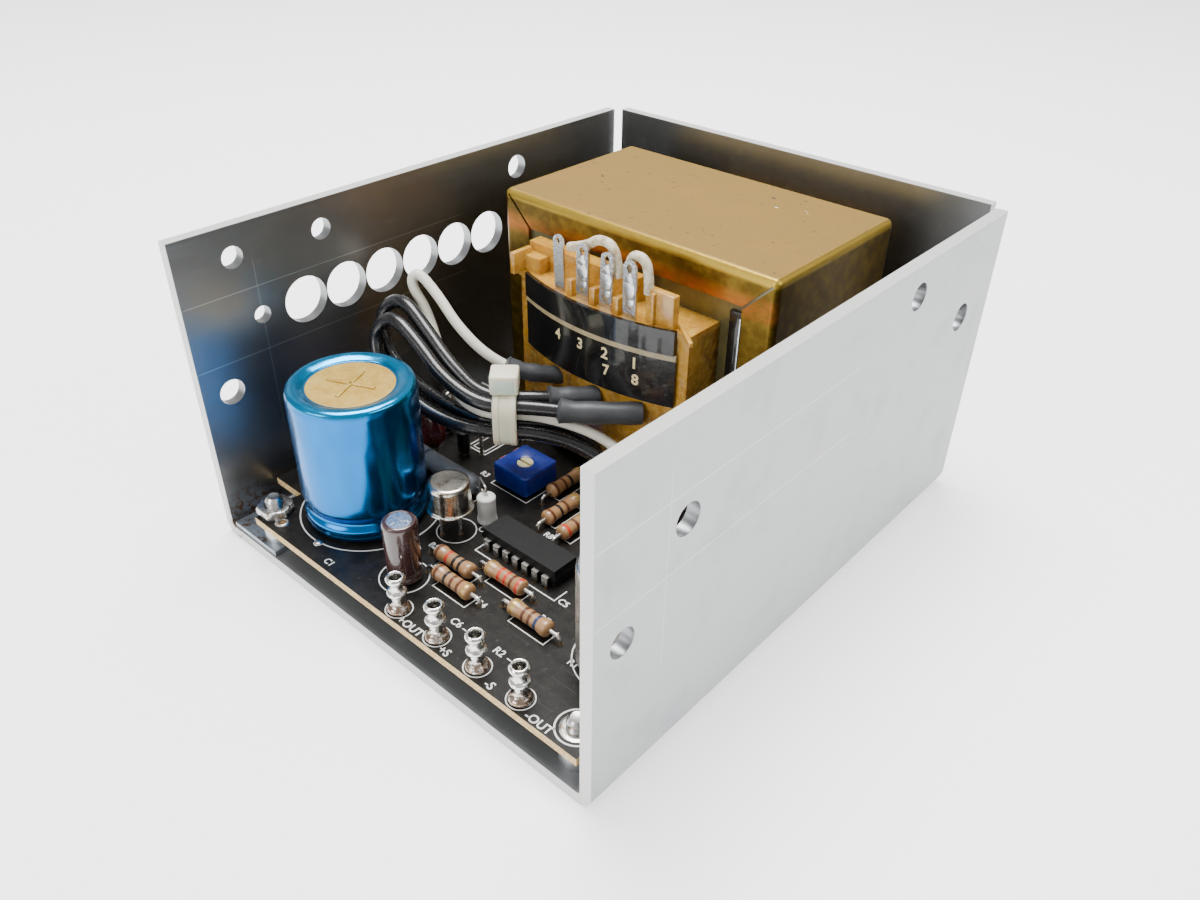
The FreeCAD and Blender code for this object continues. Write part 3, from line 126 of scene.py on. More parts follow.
class Surface:
    """A Principled material, whose colour, roughness and bump are built a step at a time."""

    def __init__(self, name, colour, rough, metal=0.0, **more):
        self.material = bpy.data.materials.new(name)
        self.material.use_nodes = True
        self.tree = self.material.node_tree
        self.shader = self.tree.nodes["Principled BSDF"]
        self.colour = (*colour, 1)
        self.height = None
        settings = {"Base_Color": self.colour, "Roughness": rough, "Metallic": metal, **more}
        for socket, value in settings.items():
            self.shader.inputs[socket.replace("_", " ")].default_value = value
        self.normal = self.node("NewGeometry").node.outputs["Normal"]
        self.place = self.node("TexCoord").node.outputs["Object"]

    def feed(self, socket, value):
        """Link another node's output to a socket, or set the socket to a plain value."""
        if isinstance(value, bpy.types.NodeSocket):
            self.tree.links.new(value, socket)
        else:
            socket.default_value = value

    def node(self, kind, **inputs):
        """A new node's first output. Lower-case keys are properties; others are socket names or _numbers."""
        node = self.tree.nodes.new("ShaderNode" + kind)
        for key, value in inputs.items():
            if key[0].islower():
                setattr(node, key, value)
            else:
                self.feed(node.inputs[int(key[1:]) if key[0] == "_" else key.replace("_", " ")], value)
        return node.outputs[0]

    def maths(self, operation, first, second=0.0):
        return self.node("Math", operation=operation, _0=first, _1=second)

    def times(self, first, *others):
        """The product of masks and numbers."""
        for other in others:
            first = self.maths("MULTIPLY", first, other)
        return first

    def opposite(self, mask):
        return self.maths("SUBTRACT", 1.0, mask)

    def axis(self, letter, source=None):
        """One coordinate of the place, in metres, or of another vector."""
        return self.node("SeparateXYZ", _0=source or self.place).node.outputs[letter]

    def noise(self, size, detail=4.0, stretch=(1, 1, 1), offset=0.0):
        """Cloudy noise from 0 to 1, whose blobs are about size millimetres wide, times a stretch."""
        scale = [1 / (size * MM * s) for s in stretch]
        spread = self.node("Mapping", Vector=self.place, Scale=scale, Location=(offset, offset, offset))
        return self.node("TexNoise", Vector=spread, Scale=1.0, Detail=detail, Roughness=0.6)

    def step(self, value, edge, soft=0.02):
        """0 below an edge, 1 above it."""
        return self.node("MapRange", _0=value, _1=edge - soft, _2=edge + soft)

    def patches(self, size, detail, edge, soft, stretch=(1, 1, 1), offset=0.0):
        """1 in the patches where noise is above an edge, and 0 elsewhere."""
        return self.step(self.noise(size, detail, stretch, offset), edge, soft)

    def between(self, letter, low, high, soft=0.02):
        """1 where a coordinate lies between two places in millimetres."""
        place = self.axis(letter)
        above, beyond = (self.step(place, edge * MM, soft * MM) for edge in (low, high))
        return self.maths("SUBTRACT", above, beyond)

    def near(self, centre, reach):
        """1 at a point, falling to 0 at a reach, both in millimetres."""
        away = self.node("VectorMath", operation="DISTANCE", _0=self.place, _1=Vector(centre) * MM)
        return self.node("MapRange", _0=away.node.outputs["Value"], _1=reach * MM, _2=0.0)

    def tint(self, mask, colour, share=None):
        """Mix a colour over what is there, by a mask from 0 to 1, times a share where one is given."""
        mask = self.times(mask, share) if share else mask
        mixed = self.node("Mix", data_type="RGBA", _0=mask, _6=self.colour, _7=(*colour, 1)).node
        self.colour = mixed.outputs[2]
        self.tree.links.new(self.colour, self.shader.inputs["Base Color"])

    def vary(self, mask, low, high, socket="Roughness"):
        """Let roughness, or another input, run from low to high with a mask from 0 to 1."""
        self.tree.links.new(self.node("MapRange", _0=mask, _3=low, _4=high), self.shader.inputs[socket])

    def bump(self, height, depth, strength=1.0):
        """Raise the surface by a height from 0 to 1 times a depth in millimetres."""
        below = {"Normal": self.height} if self.height else {}
        self.height = self.node("Bump", Height=height, Distance=depth * MM, Strength=strength, **below)
        self.tree.links.new(self.height, self.shader.inputs["Normal"])


def chassis_surface():
    """Satin aluminium sheet, stained and scratched; its outer face is painted lighter as painted light, and
    its cut edges are painted lighter, partly bare cut metal and partly a painted highlight.
    """
    s = Surface("chassis_sheet", (0.31, 0.32, 0.33), 0.34, 1.0)
    grain = s.noise(0.5, 5.0, (1, 26, 1))
    s.tint(s.patches(26, 3.0, 0.55, 0.25), (0.23, 0.235, 0.24))
    s.tint(s.patches(5, 6.0, 0.66, 0.06, (1, 3, 1)), (0.38, 0.39, 0.40), 0.5)
    # The outer face is painted lighter: painted light for the lamp that falls on it. The darker patches over
    # it are stains.
    outside = s.step(s.axis("X"), (HIGH.x - 0.1) * MM, 0.05 * MM)
    s.tint(outside, (0.43, 0.44, 0.45))
    s.tint(s.times(s.patches(9, 7.0, 0.62, 0.1, offset=2.0), outside), (0.37, 0.38, 0.39))
    # The top and front cut edges are painted lighter: partly the bare cut metal, partly a painted highlight.
    top = s.step(s.axis("Z"), (HIGH.z - 0.08) * MM, 0.03 * MM)
    front = s.step(s.times(s.axis("Y"), -1.0), (-LOW.y - 0.075) * MM, 0.03 * MM)
    cut_edges = s.maths("MAXIMUM", top, front)
    s.tint(cut_edges, (0.58, 0.58, 0.57))
    for line in (37.4, 50.6):
        scribed = s.times(s.between("Z", line, line + 0.16, 0.05), s.between("Y", -60, 6, 1.0))
        s.tint(scribed, (0.78, 0.79, 0.80), 0.55)
    upright = s.times(s.between("Y", -44.9, -44.74, 0.05), s.between("Z", 20, 56, 1.0))
    s.tint(upright, (0.75, 0.76, 0.77), 0.4)
    inside = s.step(s.axis("X"), (LOW.x + 1.5) * MM, 0.2 * MM)
    rust = s.times(s.near((-47.8, -55, 2.5), 9), s.patches(1.1, 6.0, 0.55, 0.07), inside, 1.8)
    s.tint(s.maths("MINIMUM", rust, 0.85), (0.17, 0.07, 0.025))
    s.vary(s.maths("ADD", s.times(outside, 0.55), s.times(grain, 0.45)), 0.27, 0.66)
    base = s.opposite(s.step(s.axis("Z"), 3.2 * MM, 0.8 * MM))
    dull = s.times(s.maths("MAXIMUM", outside, base), 0.6)
    s.vary(s.maths("MAXIMUM", dull, cut_edges), 1.0, 0.15, "Metallic")
    s.bump(grain, 0.012)
    s.bump(s.noise(2.2, 5.0), 0.02, 0.5)
    return s.material


def board_surface():
    """Black solder mask with faint copper tracks under it, and bare tan laminate at the cut edges."""
    s = Surface("solder_mask", (0.007, 0.006, 0.0055), 0.40, Coat_Weight=0.05, Coat_Roughness=0.15,
                Specular_IOR_Level=0.2)
    tracks = s.node("TexBrick", offset=0.37, squash=1.6, Vector=s.place, Scale=95.0, Color1=(0, 0, 0, 1),
                    Color2=(0.4, 0.4, 0.4, 1), Mortar=(1, 1, 1, 1), Mortar_Size=0.05)
    s.tint(s.patches(3, 3.0, 0.5, 0.2), (0.028, 0.026, 0.022), 0.5)
    s.tint(s.patches(0.9, 7.0, 0.66, 0.05, offset=4.0), (0.10, 0.09, 0.075), 0.35)
    edge = s.opposite(s.step(s.maths("ABSOLUTE", s.axis("Z", s.normal)), 0.5, 0.05))
    s.tint(edge, (0.50, 0.33, 0.14))
    s.tint(s.times(edge, s.patches(0.5, 4.0, 0.55, 0.1)), (0.70, 0.54, 0.30))
    s.vary(edge, 0.30, 0.75)
    s.bump(tracks, 0.02, 0.5)
    s.bump(s.noise(0.8, 4.0), 0.01, 0.5)
    return s.material


def metal_surface(name, colour, rough, spots=None, depth=0.01, grain=1.2):
    """Bare metal with a slightly uneven finish, and stains if a colour is given for them."""
    s = Surface(name, colour, rough, 1.0)
    cloud = s.noise(grain, 5.0)
    s.tint(s.step(cloud, 0.56, 0.16), tuple(0.72 * c for c in colour))
    if spots:
        s.tint(s.patches(grain * 1.3, 6.0, 0.60, 0.05, offset=3.1), spots)
    s.vary(cloud, max(rough - 0.1, 0.05), rough + 0.16)
    s.bump(s.noise(grain * 0.5, 4.0), depth)
    return s.material


def plastic_surface(name, colour, rough, grain=0.8, shade=0.75, depth=0.01, **more):
    """Moulded or lacquered material with mild variation of colour and shine."""
    s = Surface(name, colour, rough, **more)
    s.tint(s.patches(grain * 3, 4.0, 0.55, 0.22), tuple(shade * c for c in colour))
    s.vary(s.noise(grain, 4.0, offset=1.7), max(rough - 0.09, 0.03), rough + 0.12)
    s.bump(s.noise(grain, 5.0), depth)
    return s.material


def blue_sleeve_surface(top):
    """The big capacitor's shrunk film: clear blue over bright metal, rippled, with a paler rim."""
    s = Surface("blue_film", (0.0, 0.115, 0.34), 0.28, 0.95, Coat_Weight=0.06, Coat_Roughness=0.05)
    s.tint(s.patches(14, 2.0, 0.55, 0.3, (1, 1, 2)), (0.0, 0.19, 0.56))
    s.tint(s.between("Z", top - 0.9, top + 1, 0.3), (0.0, 0.24, 0.50))
    s.vary(s.noise(3, 3.0), 0.13, 0.27)
    s.bump(s.noise(5.5, 1.0, (1, 1, 2.6)), 0.35)
    s.bump(s.noise(0.5, 4.0), 0.006)
    return s.material


def gold_disc_surface():
    """The big capacitor's end disc: ochre, with worn and brighter patches."""
    s = Surface("gold_disc", (0.36, 0.195, 0.012), 0.5, 0.3)
    s.tint(s.patches(2.6, 5.0, 0.52, 0.2), (0.48, 0.33, 0.07))
    s.tint(s.patches(0.5, 5.0, 0.6, 0.1), (0.66, 0.50, 0.16), 0.4)
    s.bump(s.noise(0.7, 5.0), 0.03)
    return s.material


def cover_surface():
    """Baked brown-gold coat: matt brown on top, painted shade on its sides, a lighter brass band along the
    top bends as a painted highlight, and orange-brown varnish at the lip.
    """
    low, high = box_mm("transformer_cover")
    s = Surface("brown_gold", (0.145, 0.060, 0.006), 0.45, 0.75, Coat_Weight=0.05, Coat_Roughness=0.3)
    s.tint(s.patches(12, 5.0, 0.52, 0.2), (0.105, 0.055, 0.006))
    s.tint(s.patches(0.7, 6.0, 0.60, 0.1), (0.20, 0.11, 0.02), 0.3)
    # The upright faces are painted darker: painted shade. The lighter patches on them are an uneven coat.
    side = s.opposite(s.step(s.axis("Z", s.normal), 0.75, 0.2))
    s.tint(side, (0.115, 0.066, 0.004))
    s.tint(s.times(side, s.patches(2.4, 6.0, 0.55, 0.12)), (0.20, 0.125, 0.012))
    # A lighter brass band along the top bends: a painted highlight.
    s.tint(s.between("Z", high.z - 1.7, high.z - 0.12, 0.3), (0.52, 0.35, 0.045), 0.8)
    lip = s.times(s.between("Z", high.z - 8.2, high.z - 5.0, 1.2), s.between("Y", low.y - 1, low.y + 1))
    s.tint(s.times(lip, s.patches(3.0, 4.0, 0.42, 0.15, (2, 1, 1))), (0.40, 0.13, 0.02))
    on_top = s.step(s.axis("Z"), (high.z - 0.1) * MM, 0.02 * MM)
    s.tint(s.times(on_top, s.patches(1.9, 3.0, 0.685, 0.015, offset=9.0)), (0.07, 0.035, 0.01))
    flecks = s.patches(2.2, 2.0, 0.70, 0.01, (1.6, 1, 1), 4.4)
    flecks = s.times(s.near((17, 33, high.z), 11), flecks, on_top)
    s.tint(s.step(flecks, 0.25, 0.05), (0.72, 0.68, 0.58))
    s.vary(s.maths("ADD", s.times(on_top, 0.4), s.times(s.noise(1.2, 6.0), 0.6)), 0.26, 0.66)
    s.vary(on_top, 0.85, 0.25, "Metallic")
    s.bump(s.noise(0.9, 7.0), 0.03)
    s.bump(s.noise(9, 2.0), 0.12)
    return s.material


def core_surface():
    """Olive varnish over the laminations' faces, with the stack's lines at their edges."""
    s = Surface("laminations", (0.17, 0.15, 0.055), 0.32, 0.5, Coat_Weight=0.6, Coat_Roughness=0.15)
    s.tint(s.patches(5, 5.0, 0.52, 0.15), (0.10, 0.09, 0.04))
    s.bump(s.node("TexWave", bands_direction="Y", Vector=s.place, Scale=320.0), 0.05)
    s.bump(s.noise(2, 5.0), 0.04)
    return s.material


def amber_surface(name, deep=(0.30, 0.12, 0.02)):
    """Varnished amber moulding, clear in thin places, with darker runs of varnish."""
    s = Surface(name, (0.50, 0.255, 0.028), 0.22, Coat_Weight=0.8, Coat_Roughness=0.08,
                Subsurface_Weight=0.15, Subsurface_Scale=0.002)
    s.tint(s.patches(5.5, 4.0, 0.56, 0.14, (1, 1, 1.8)), deep, 0.75)
    s.tint(s.patches(1.3, 4.0, 0.58, 0.08, offset=5.0), (0.62, 0.38, 0.08), 0.6)
    s.vary(s.noise(1.8, 4.0), 0.12, 0.42)
    s.bump(s.noise(1.4, 4.0), 0.08)
    return s.material


def tape_surface():
    """Black tape under a thick, uneven coat of varnish."""
    s = Surface("varnished_tape", (0.005, 0.005, 0.005), 0.18, Coat_Weight=0.55, Coat_Roughness=0.05,
                Specular_IOR_Level=0.3)
    s.tint(s.patches(2.2, 5.0, 0.66, 0.06), (0.03, 0.02, 0.01), 0.35)
    s.vary(s.noise(2.0, 4.0), 0.08, 0.34)
    s.bump(s.noise(4.2, 2.0), 0.14)
    s.bump(s.noise(0.6, 3.0), 0.04)
    return s.material


def turret_surface():
    """Bright tin, with brown flux left round the foot."""
    foot = box_mm("positive_output_turret")[0].z + 2.17
    s = Surface("turret_tin", (0.80, 0.79, 0.76), 0.13, 1.0)
    s.tint(s.patches(0.9, 4.0, 0.58, 0.1), (0.52, 0.50, 0.46))
    flux = s.times(s.between("Z", foot - 1, foot + 2.0, 0.7), s.patches(0.8, 3.0, 0.42, 0.12))
    s.tint(flux, (0.20, 0.09, 0.03), 0.8)
    s.vary(s.noise(0.7, 3.0), 0.07, 0.28)
    s.bump(s.noise(0.8, 3.0), 0.07)
    return s.material


def link_surface():
    """The wire links' aged cream insulation, with brown stains."""
    s = Surface("link_wire", (0.66, 0.60, 0.46), 0.42)
    s.tint(s.patches(1.4, 5.0, 0.56, 0.12), (0.34, 0.24, 0.12))
    s.bump(s.noise(0.9, 4.0), 0.06)
    return s.material


# Finishes that several nodes or pieces share. A metal's fourth value is its stains' colour, and a
# plastic's fourth to sixth are the size, the shade and the depth of its unevenness.
NICKEL = metal_surface("nickel", (0.62, 0.59, 0.53), 0.17, (0.34, 0.29, 0.22), 0.012)
TINNED = metal_surface("tinned_wire", (0.66, 0.64, 0.60), 0.26, (0.30, 0.24, 0.17))
SOLDER = metal_surface("solder", (0.70, 0.70, 0.70), 0.17, None, 0.08, 0.9)
STEEL = metal_surface("plated_steel", (0.58, 0.57, 0.55), 0.25, (0.22, 0.16, 0.10))
ZINC = metal_surface("zinc_plate", (0.44, 0.49, 0.54), 0.38, (0.20, 0.12, 0.06), 0.02, 1.6)
SPACER = metal_surface("spacer", (0.55, 0.56, 0.57), 0.32)
CAN_TOP = metal_surface("can_top", (0.62, 0.68, 0.74), 0.22, None, 0.03, 0.8)
WHITE_INK = plastic_surface("white_ink", (0.78, 0.78, 0.74), 0.55, 0.3, 0.7)
GOLD_INK = plastic_surface("gold_ink", (0.80, 0.66, 0.36), 0.5, 0.3, 0.8)
EPOXY = plastic_surface("chip_epoxy", (0.008, 0.008, 0.008), 0.5, 0.3, 0.7, 0.02, Specular_IOR_Level=0.18)
BLACK_GLOSS = plastic_surface("diode_epoxy", (0.012, 0.012, 0.012), 0.22, 0.5, 0.7)
SILVER_INK = plastic_surface("silver_band", (0.62, 0.62, 0.60), 0.35, 0.3, Metallic=0.6)
TRIMMER_BLUE = plastic_surface("trimmer_blue", (0.004, 0.024, 0.27), 0.30, 0.8, 0.6, 0.015, Coat_Weight=0.2)
CREAM = plastic_surface("rotor_cream", (0.72, 0.66, 0.36), 0.4, 0.7, 0.75)
DISC_RED = plastic_surface("dipped_red", (0.13, 0.012, 0.010), 0.24, 1.2, 0.6, 0.05, Coat_Weight=0.6)
CEMENT = plastic_surface("grey_lacquer", (0.20, 0.22, 0.24), 0.40, 1.1, 0.7, 0.05)
WHITE_PART = plastic_surface("white_body", (0.72, 0.73, 0.70), 0.45, 0.7, 0.8, 0.03)
BROWN_FILM = plastic_surface("brown_film", (0.045, 0.018, 0.016), 0.20, 1.0, 0.6, 0.02, Coat_Weight=0.8)
PALE_FILM = plastic_surface("pale_film", (0.42, 0.40, 0.36), 0.28, 1.4, 0.7, 0.05, Metallic=0.7)
KRAFT = plastic_surface("kraft_paper", (0.46, 0.36, 0.20), 0.5, 0.6, 0.6, 0.03, Coat_Weight=0.4)
FIBRE = plastic_surface("fibre_sheet", (0.26, 0.18, 0.10), 0.7, 0.8, 0.7, 0.03)
MICA = plastic_surface("mica_pad", (0.52, 0.47, 0.36), 0.35, 1.0, 0.8)
BLACK_PVC = plastic_surface("black_insulation", (0.008, 0.008, 0.009), 0.26, 1.3, 0.8, 0.03, Coat_Weight=0.2)
WHITE_PVC = plastic_surface("white_insulation", (0.74, 0.71, 0.60), 0.34, 1.6, 0.86, 0.02)
GREY_SHRINK = plastic_surface("grey_sleeve", (0.055, 0.058, 0.063), 0.42, 1.0, 0.7, 0.06)
NYLON = plastic_surface("nylon", (0.74, 0.72, 0.55), 0.32, 1.0, 0.85, 0.02, Subsurface_Weight=0.4,
                        Subsurface_Scale=0.002)
TAPE = tape_surface()
AMBER = amber_surface("amber_former")
# The lacquer of the film resistors' bodies, and the colours of their bands.
BANDS = {
    "tan": plastic_surface("resistor_lacquer", (0.38, 0.205, 0.09), 0.30, 0.6, 0.75, 0.02, Coat_Weight=0.4),
    "brown": plastic_surface("band_brown", (0.11, 0.035, 0.012), 0.32, 0.4),
    "black": plastic_surface("band_black", (0.012, 0.011, 0.011), 0.32, 0.4),
    "red": plastic_surface("band_red", (0.55, 0.035, 0.015), 0.32, 0.4),
    "gold": plastic_surface("band_gold", (0.50, 0.34, 0.10), 0.30, 0.4, Metallic=0.6),
    "blue": plastic_surface("band_blue", (0.02, 0.04, 0.10), 0.32, 0.4),
}


# ---- shapes

def box_mm(node):
    """(lowest corner, highest corner) of a CAD node, in millimetres."""
    low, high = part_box(node)
    return low / MM, high / MM


def centre_of(box):
    return (box[0] + box[1]) / 2


def islands(node):
    """The box of each separate solid of a CAD node, in millimetres, in order of X and then Y."""
    bm = bmesh.new()
    bm.from_mesh(NODES[node].data)
    bmesh.ops.remove_doubles(bm, verts=bm.verts, dist=1e-6)
    left = set(bm.verts)
    boxes = []
    while left:
        todo = [left.pop()]
        low = todo[0].co.copy()
        high = low.copy()
        while todo:
            vert = todo.pop()
            low = Vector(map(min, low, vert.co))
            high = Vector(map(max, high, vert.co))
            for edge in vert.link_edges:
                other = edge.other_vert(vert)
                if other in left:
                    left.remove(other)
                    todo.append(other)
        boxes.append((low / MM, high / MM))
    bm.free()
    return sorted(boxes, key=lambda b: (round(b[0].x, 2), round(b[0].y, 2)))


def show(obj, stands_for=(), body=ROOT):
    """Put a piece in the scene: hang it on the body it rides on, and hide the CAD nodes it stands for."""
    bpy.context.scene.collection.objects.link(obj)
    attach(obj, body)
    if stands_for:
        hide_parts(*stands_for)
    return obj


def piece(name, bm, materials, stands_for=(), body=ROOT, sharp=38):
    """A mesh built in bmesh, as a piece of the object. Faces that meet at under sharp degrees look smooth."""
    bmesh.ops.recalc_face_normals(bm, faces=bm.faces)
    mesh = bpy.data.meshes.new(name)
    bm.to_mesh(mesh)
    bm.free()
    for material in materials:
        mesh.materials.append(material)
    mesh.shade_smooth()
    mesh.set_sharp_from_angle(angle=math.radians(sharp))
    return show(bpy.data.objects.new(name, mesh), stands_for, body)


def at(x, y, z, turn=None):
    """A place in millimetres as a matrix, after an optional turn (axis, degrees)."""
    spin = Matrix.Rotation(math.radians(turn[1]), 4, turn[0]) if turn else Matrix()
    return Matrix.Translation(Vector((x, y, z)) * MM) @ spin


def rounded(profile, radius, steps=4):
    """A profile with each of its inner corners eased by up to a radius."""
    points = [profile[0]]
    for before, corner, after in zip(profile, profile[1:], profile[2:]):
        corner = Vector(corner)
        back = Vector(before) - corner
        ahead = Vector(after) - corner
        reach = min(radius, 0.45 * back.length, 0.45 * ahead.length)
        start = corner + back.normalized() * reach
        end = corner + ahead.normalized() * reach
        for k in range(steps + 1):
            t = k / steps
            points.append(tuple(start.lerp(corner, t).lerp(corner.lerp(end, t), t)))
    points.append(profile[-1])
    return points


def ring(radius, steps, shift=0.0):
    """(x, y) points evenly round a circle, starting a shift of a step past the X axis."""
    angles = [2 * math.pi * (k + shift) / steps for k in range(steps)]
    return [(radius * math.cos(a), radius * math.sin(a)) for a in angles]


def corners(bm, points, where=Matrix()):
    """New vertices at points in millimetres, moved by a matrix."""
    return [bm.verts.new(where @ (Vector(point) * MM)) for point in points]


def skin(bm, rings, closed=False):
    """Join each ring of vertices to the next with four-sided faces, and the last to the first if closed."""
    for low, high in zip(rings, rings[1:] + (rings[:1] if closed else [])):
        for k in range(len(low)):
            after = (k + 1) % len(low)
            bm.faces.new((low[k], low[after], high[after], high[k]))


def lathe(bm, profile, where, steps=48, band=None):
    """Add a turned shape: (radius, height) points in millimetres swept round the local Z axis.

    band, if given, says which material a stretch has from its mean height.
    """
    rings = [corners(bm, [(x, y, height) for x, y in ring(radius, steps if radius > 1e-6 else 1)], where)
             for radius, height in profile]
    for i, (low, high) in enumerate(zip(rings, rings[1:])):
        material = band((profile[i][1] + profile[i + 1][1]) / 2) if band else 0
        for k in range(steps):
            after = k + 1
            loop = [low[k % len(low)], low[after % len(low)], high[after % len(high)], high[k % len(high)]]
            loop = list(dict.fromkeys(loop))
            if len(loop) > 2:
                bm.faces.new(loop).material_index = material


def turned(name, profile, where, steps, materials, node, band=None):
    """A piece that is one turned shape, and stands for one CAD node."""
    bm = bmesh.new()
    lathe(bm, profile, where, steps, band)
    piece(name, bm, materials, [node])


def block(bm, low, high, ease=0.2, where=None, material=0):
    """Add a box with eased edges, from its lowest and highest corner in millimetres."""
    low, high = Vector(low), Vector(high)
    matrix = (where or Matrix()) @ at(*centre_of((low, high))) @ Matrix.Diagonal((*(high - low), 1 / MM)) * MM
    made = bmesh.ops.create_cube(bm, size=1.0, matrix=matrix)
    edges = list({e for v in made["verts"] for e in v.link_edges})
    result = bmesh.ops.bevel(bm, geom=edges, offset=ease * MM, segments=3, affect="EDGES", profile=0.5)
    for face in result["faces"]:
        face.material_index = material
    for vert in made["verts"]:
        if vert.is_valid:
            for face in vert.link_faces:
                face.material_index = material


def prism(bm, outline, low, high, ease, where):
    """Add an upright prism over an outline of (x, y) corners, with eased edges, all in millimetres."""
    bottom, top = (corners(bm, [(x, y, z) for x, y in outline], where) for z in (low, high))
    bm.faces.new(bottom[::-1])
    bm.faces.new(top)
    skin(bm, [bottom, top])
    edges = list({e for v in bottom + top for e in v.link_edges})
    bmesh.ops.bevel(bm, geom=edges, offset=ease * MM, segments=2, affect="EDGES", profile=0.5)


def standing(node):
    """An upright round node: the place of its foot as a matrix, its radius and its height."""
    low, high = box_mm(node)
    centre = centre_of((low, high))
    return at(centre.x, centre.y, low.z), (high.x - low.x) / 2, high.z - low.z


def circle(x, y, radius, start=0, stop=360, steps=40):
    """Points round a circle, or along an arc of it, in millimetres."""
    angles = [math.radians(start + (stop - start) * k / steps) for k in range(steps + 1)]
    return [(x + radius * math.cos(a), y + radius * math.sin(a)) for a in angles]


def wire(name, points, diameter, material, stands_for):
    """A round wire along one smooth NURBS curve, whose points are in millimetres."""
    curve = bpy.data.curves.new(name, "CURVE")
    curve.dimensions = "3D"
    curve.resolution_u = 8
    curve.bevel_depth = diameter / 2 * MM
    curve.bevel_resolution = 5
    curve.use_fill_caps = True
    spline = curve.splines.new("NURBS")
    spline.points.add(len(points) - 1)
    for target, point in zip(spline.points, points):
        target.co = (*(Vector(point) * MM), 1)
    spline.order_u = 3
    spline.use_endpoint_u = True
    curve.materials.append(material)
    return show(bpy.data.objects.new(name, curve), stands_for)


def line_of(curve_object):
    """The points of a wire's own smooth centreline, in metres."""
    bare = curve_object.data.copy()
    bare.bevel_depth = 0
    bare.use_fill_caps = False
    probe = bpy.data.objects.new("probe", bare)
    mesh = bpy.data.meshes.new_from_object(probe)
    points = [v.co.copy() for v in mesh.vertices]
    bpy.data.meshes.remove(mesh)
    bpy.data.objects.remove(probe)
    bpy.data.curves.remove(bare)
    return points


def hose(bm, points, radii, sides):
    """Add a tube along points in metres, with a radius in millimetres at each; it is open at its ends."""
    rings = []
    for i, point in enumerate(points):
        ahead = (points[min(i + 1, len(points) - 1)] - points[max(i - 1, 0)]).normalized()
        across = ahead.cross(Vector((0, 0, 1))).normalized()
        over = across.cross(ahead)
        rings.append([bm.verts.new(point + (across * x + over * y) * MM) for x, y in ring(radii[i], sides)])
    skin(bm, rings)


# ---- finish of the CAD nodes

def finish_cad_nodes():
    """Give every CAD node its material; some are hidden later by pieces that stand for them."""
    looks = [
        (chassis_surface(), "chassis_base chassis_left_wall chassis_right_wall chassis_back_wall"),
        (board_surface(), "circuit_board"), (core_surface(), "transformer_core"),
        (cover_surface(), "transformer_cover"), (amber_surface("wound_tape", (0.16, 0.07, 0.015)), "coil"),
        (AMBER, "bobbin"), (FIBRE, "transformer_pad"), (TAPE, "upper_band number_band"),
        (KRAFT, "paper_strip"), (ZINC, "corner_plate"), (SPACER, "board_spacers"),
        (STEEL, "board_washers small_nuts small_studs transformer_nuts transformer_studs"),
        (STEEL, "pass_transistor_tab"), (SOLDER, "terminal_lugs solder_joints"),
        (WHITE_PVC, "lug_links white_lead"),
        (BLACK_PVC, "black_lead_1 black_lead_2"), (GREY_SHRINK, "lead_sleeves"),
        (NYLON, "cable_tie_strap cable_tie_head"), (CAN_TOP, "filter_capacitor_disc"),
        (BROWN_FILM, "small_capacitor"), (PALE_FILM, "side_capacitor"), (WHITE_PART, "upright_capacitor"),
        (DISC_RED, "disc_capacitor"), (NICKEL, "driver_transistor"), (BLACK_GLOSS, "rectifier_diodes"),
        (CEMENT, "power_resistor"), (MICA, "insulating_pad"), (EPOXY, "regulator_chip pass_transistor_case"),
        (TRIMMER_BLUE, "trimmer_housing"), (CREAM, "trimmer_rotor"),
    ]
    look_of = {name: look for look, names in looks for name in names.split()}
    for name, node in NODES.items():
        slots = node.data.materials
        if not slots:
            slots.append(None)
        for k in range(len(slots)):
            slots[k] = look_of.get(name, TINNED)


# ---- capacitors

def make_filter_capacitor():
    """The big can: shrunk blue film that curls over the rim, a crimped groove, and a gold vented disc."""
    where, r, tall = standing("filter_capacitor")
    top = box_mm("filter_capacitor")[1].z
    disc = standing("filter_capacitor_disc")[1]
    profile = [(0, 0.2), (r - 2.2, 0.2), (r - 1.7, 0.0), (r - 0.55, 0.5), (r - 0.08, 1.6), (r - 0.05, 3.3),
               (r - 0.75, 4.1), (r - 0.9, 4.7), (r - 0.72, 5.3), (r - 0.12, 6.3), (r - 0.02, 8.0),
               (r - 0.02, tall - 1.5), (r - 0.35, tall - 0.35), (r - 1.2, tall), (r - 2.2, tall - 0.12),
               (disc + 0.25, tall - 0.55), (disc + 0.15, tall - 0.75), (0, tall - 0.75)]
    turned("filter_capacitor_sleeve", rounded(profile, 0.5, 5), where, 96, [blue_sleeve_surface(top)],
           "filter_capacitor")

    bm = bmesh.new()
    level = tall - 0.72
    edge = [(0, level), (disc - 0.3, level), (disc, level - 0.3), (disc, level - 0.5)]
    lathe(bm, rounded(edge, 0.12), where, 72)
    for turn in (24, 114):
        block(bm, (-5.0, -0.4, level - 0.1), (5.0, 0.4, level + 0.28), 0.16, where @ at(0, 0, 0, ("Z", turn)))
    piece("filter_capacitor_vent", bm, [gold_disc_surface()], ["filter_capacitor_disc"])


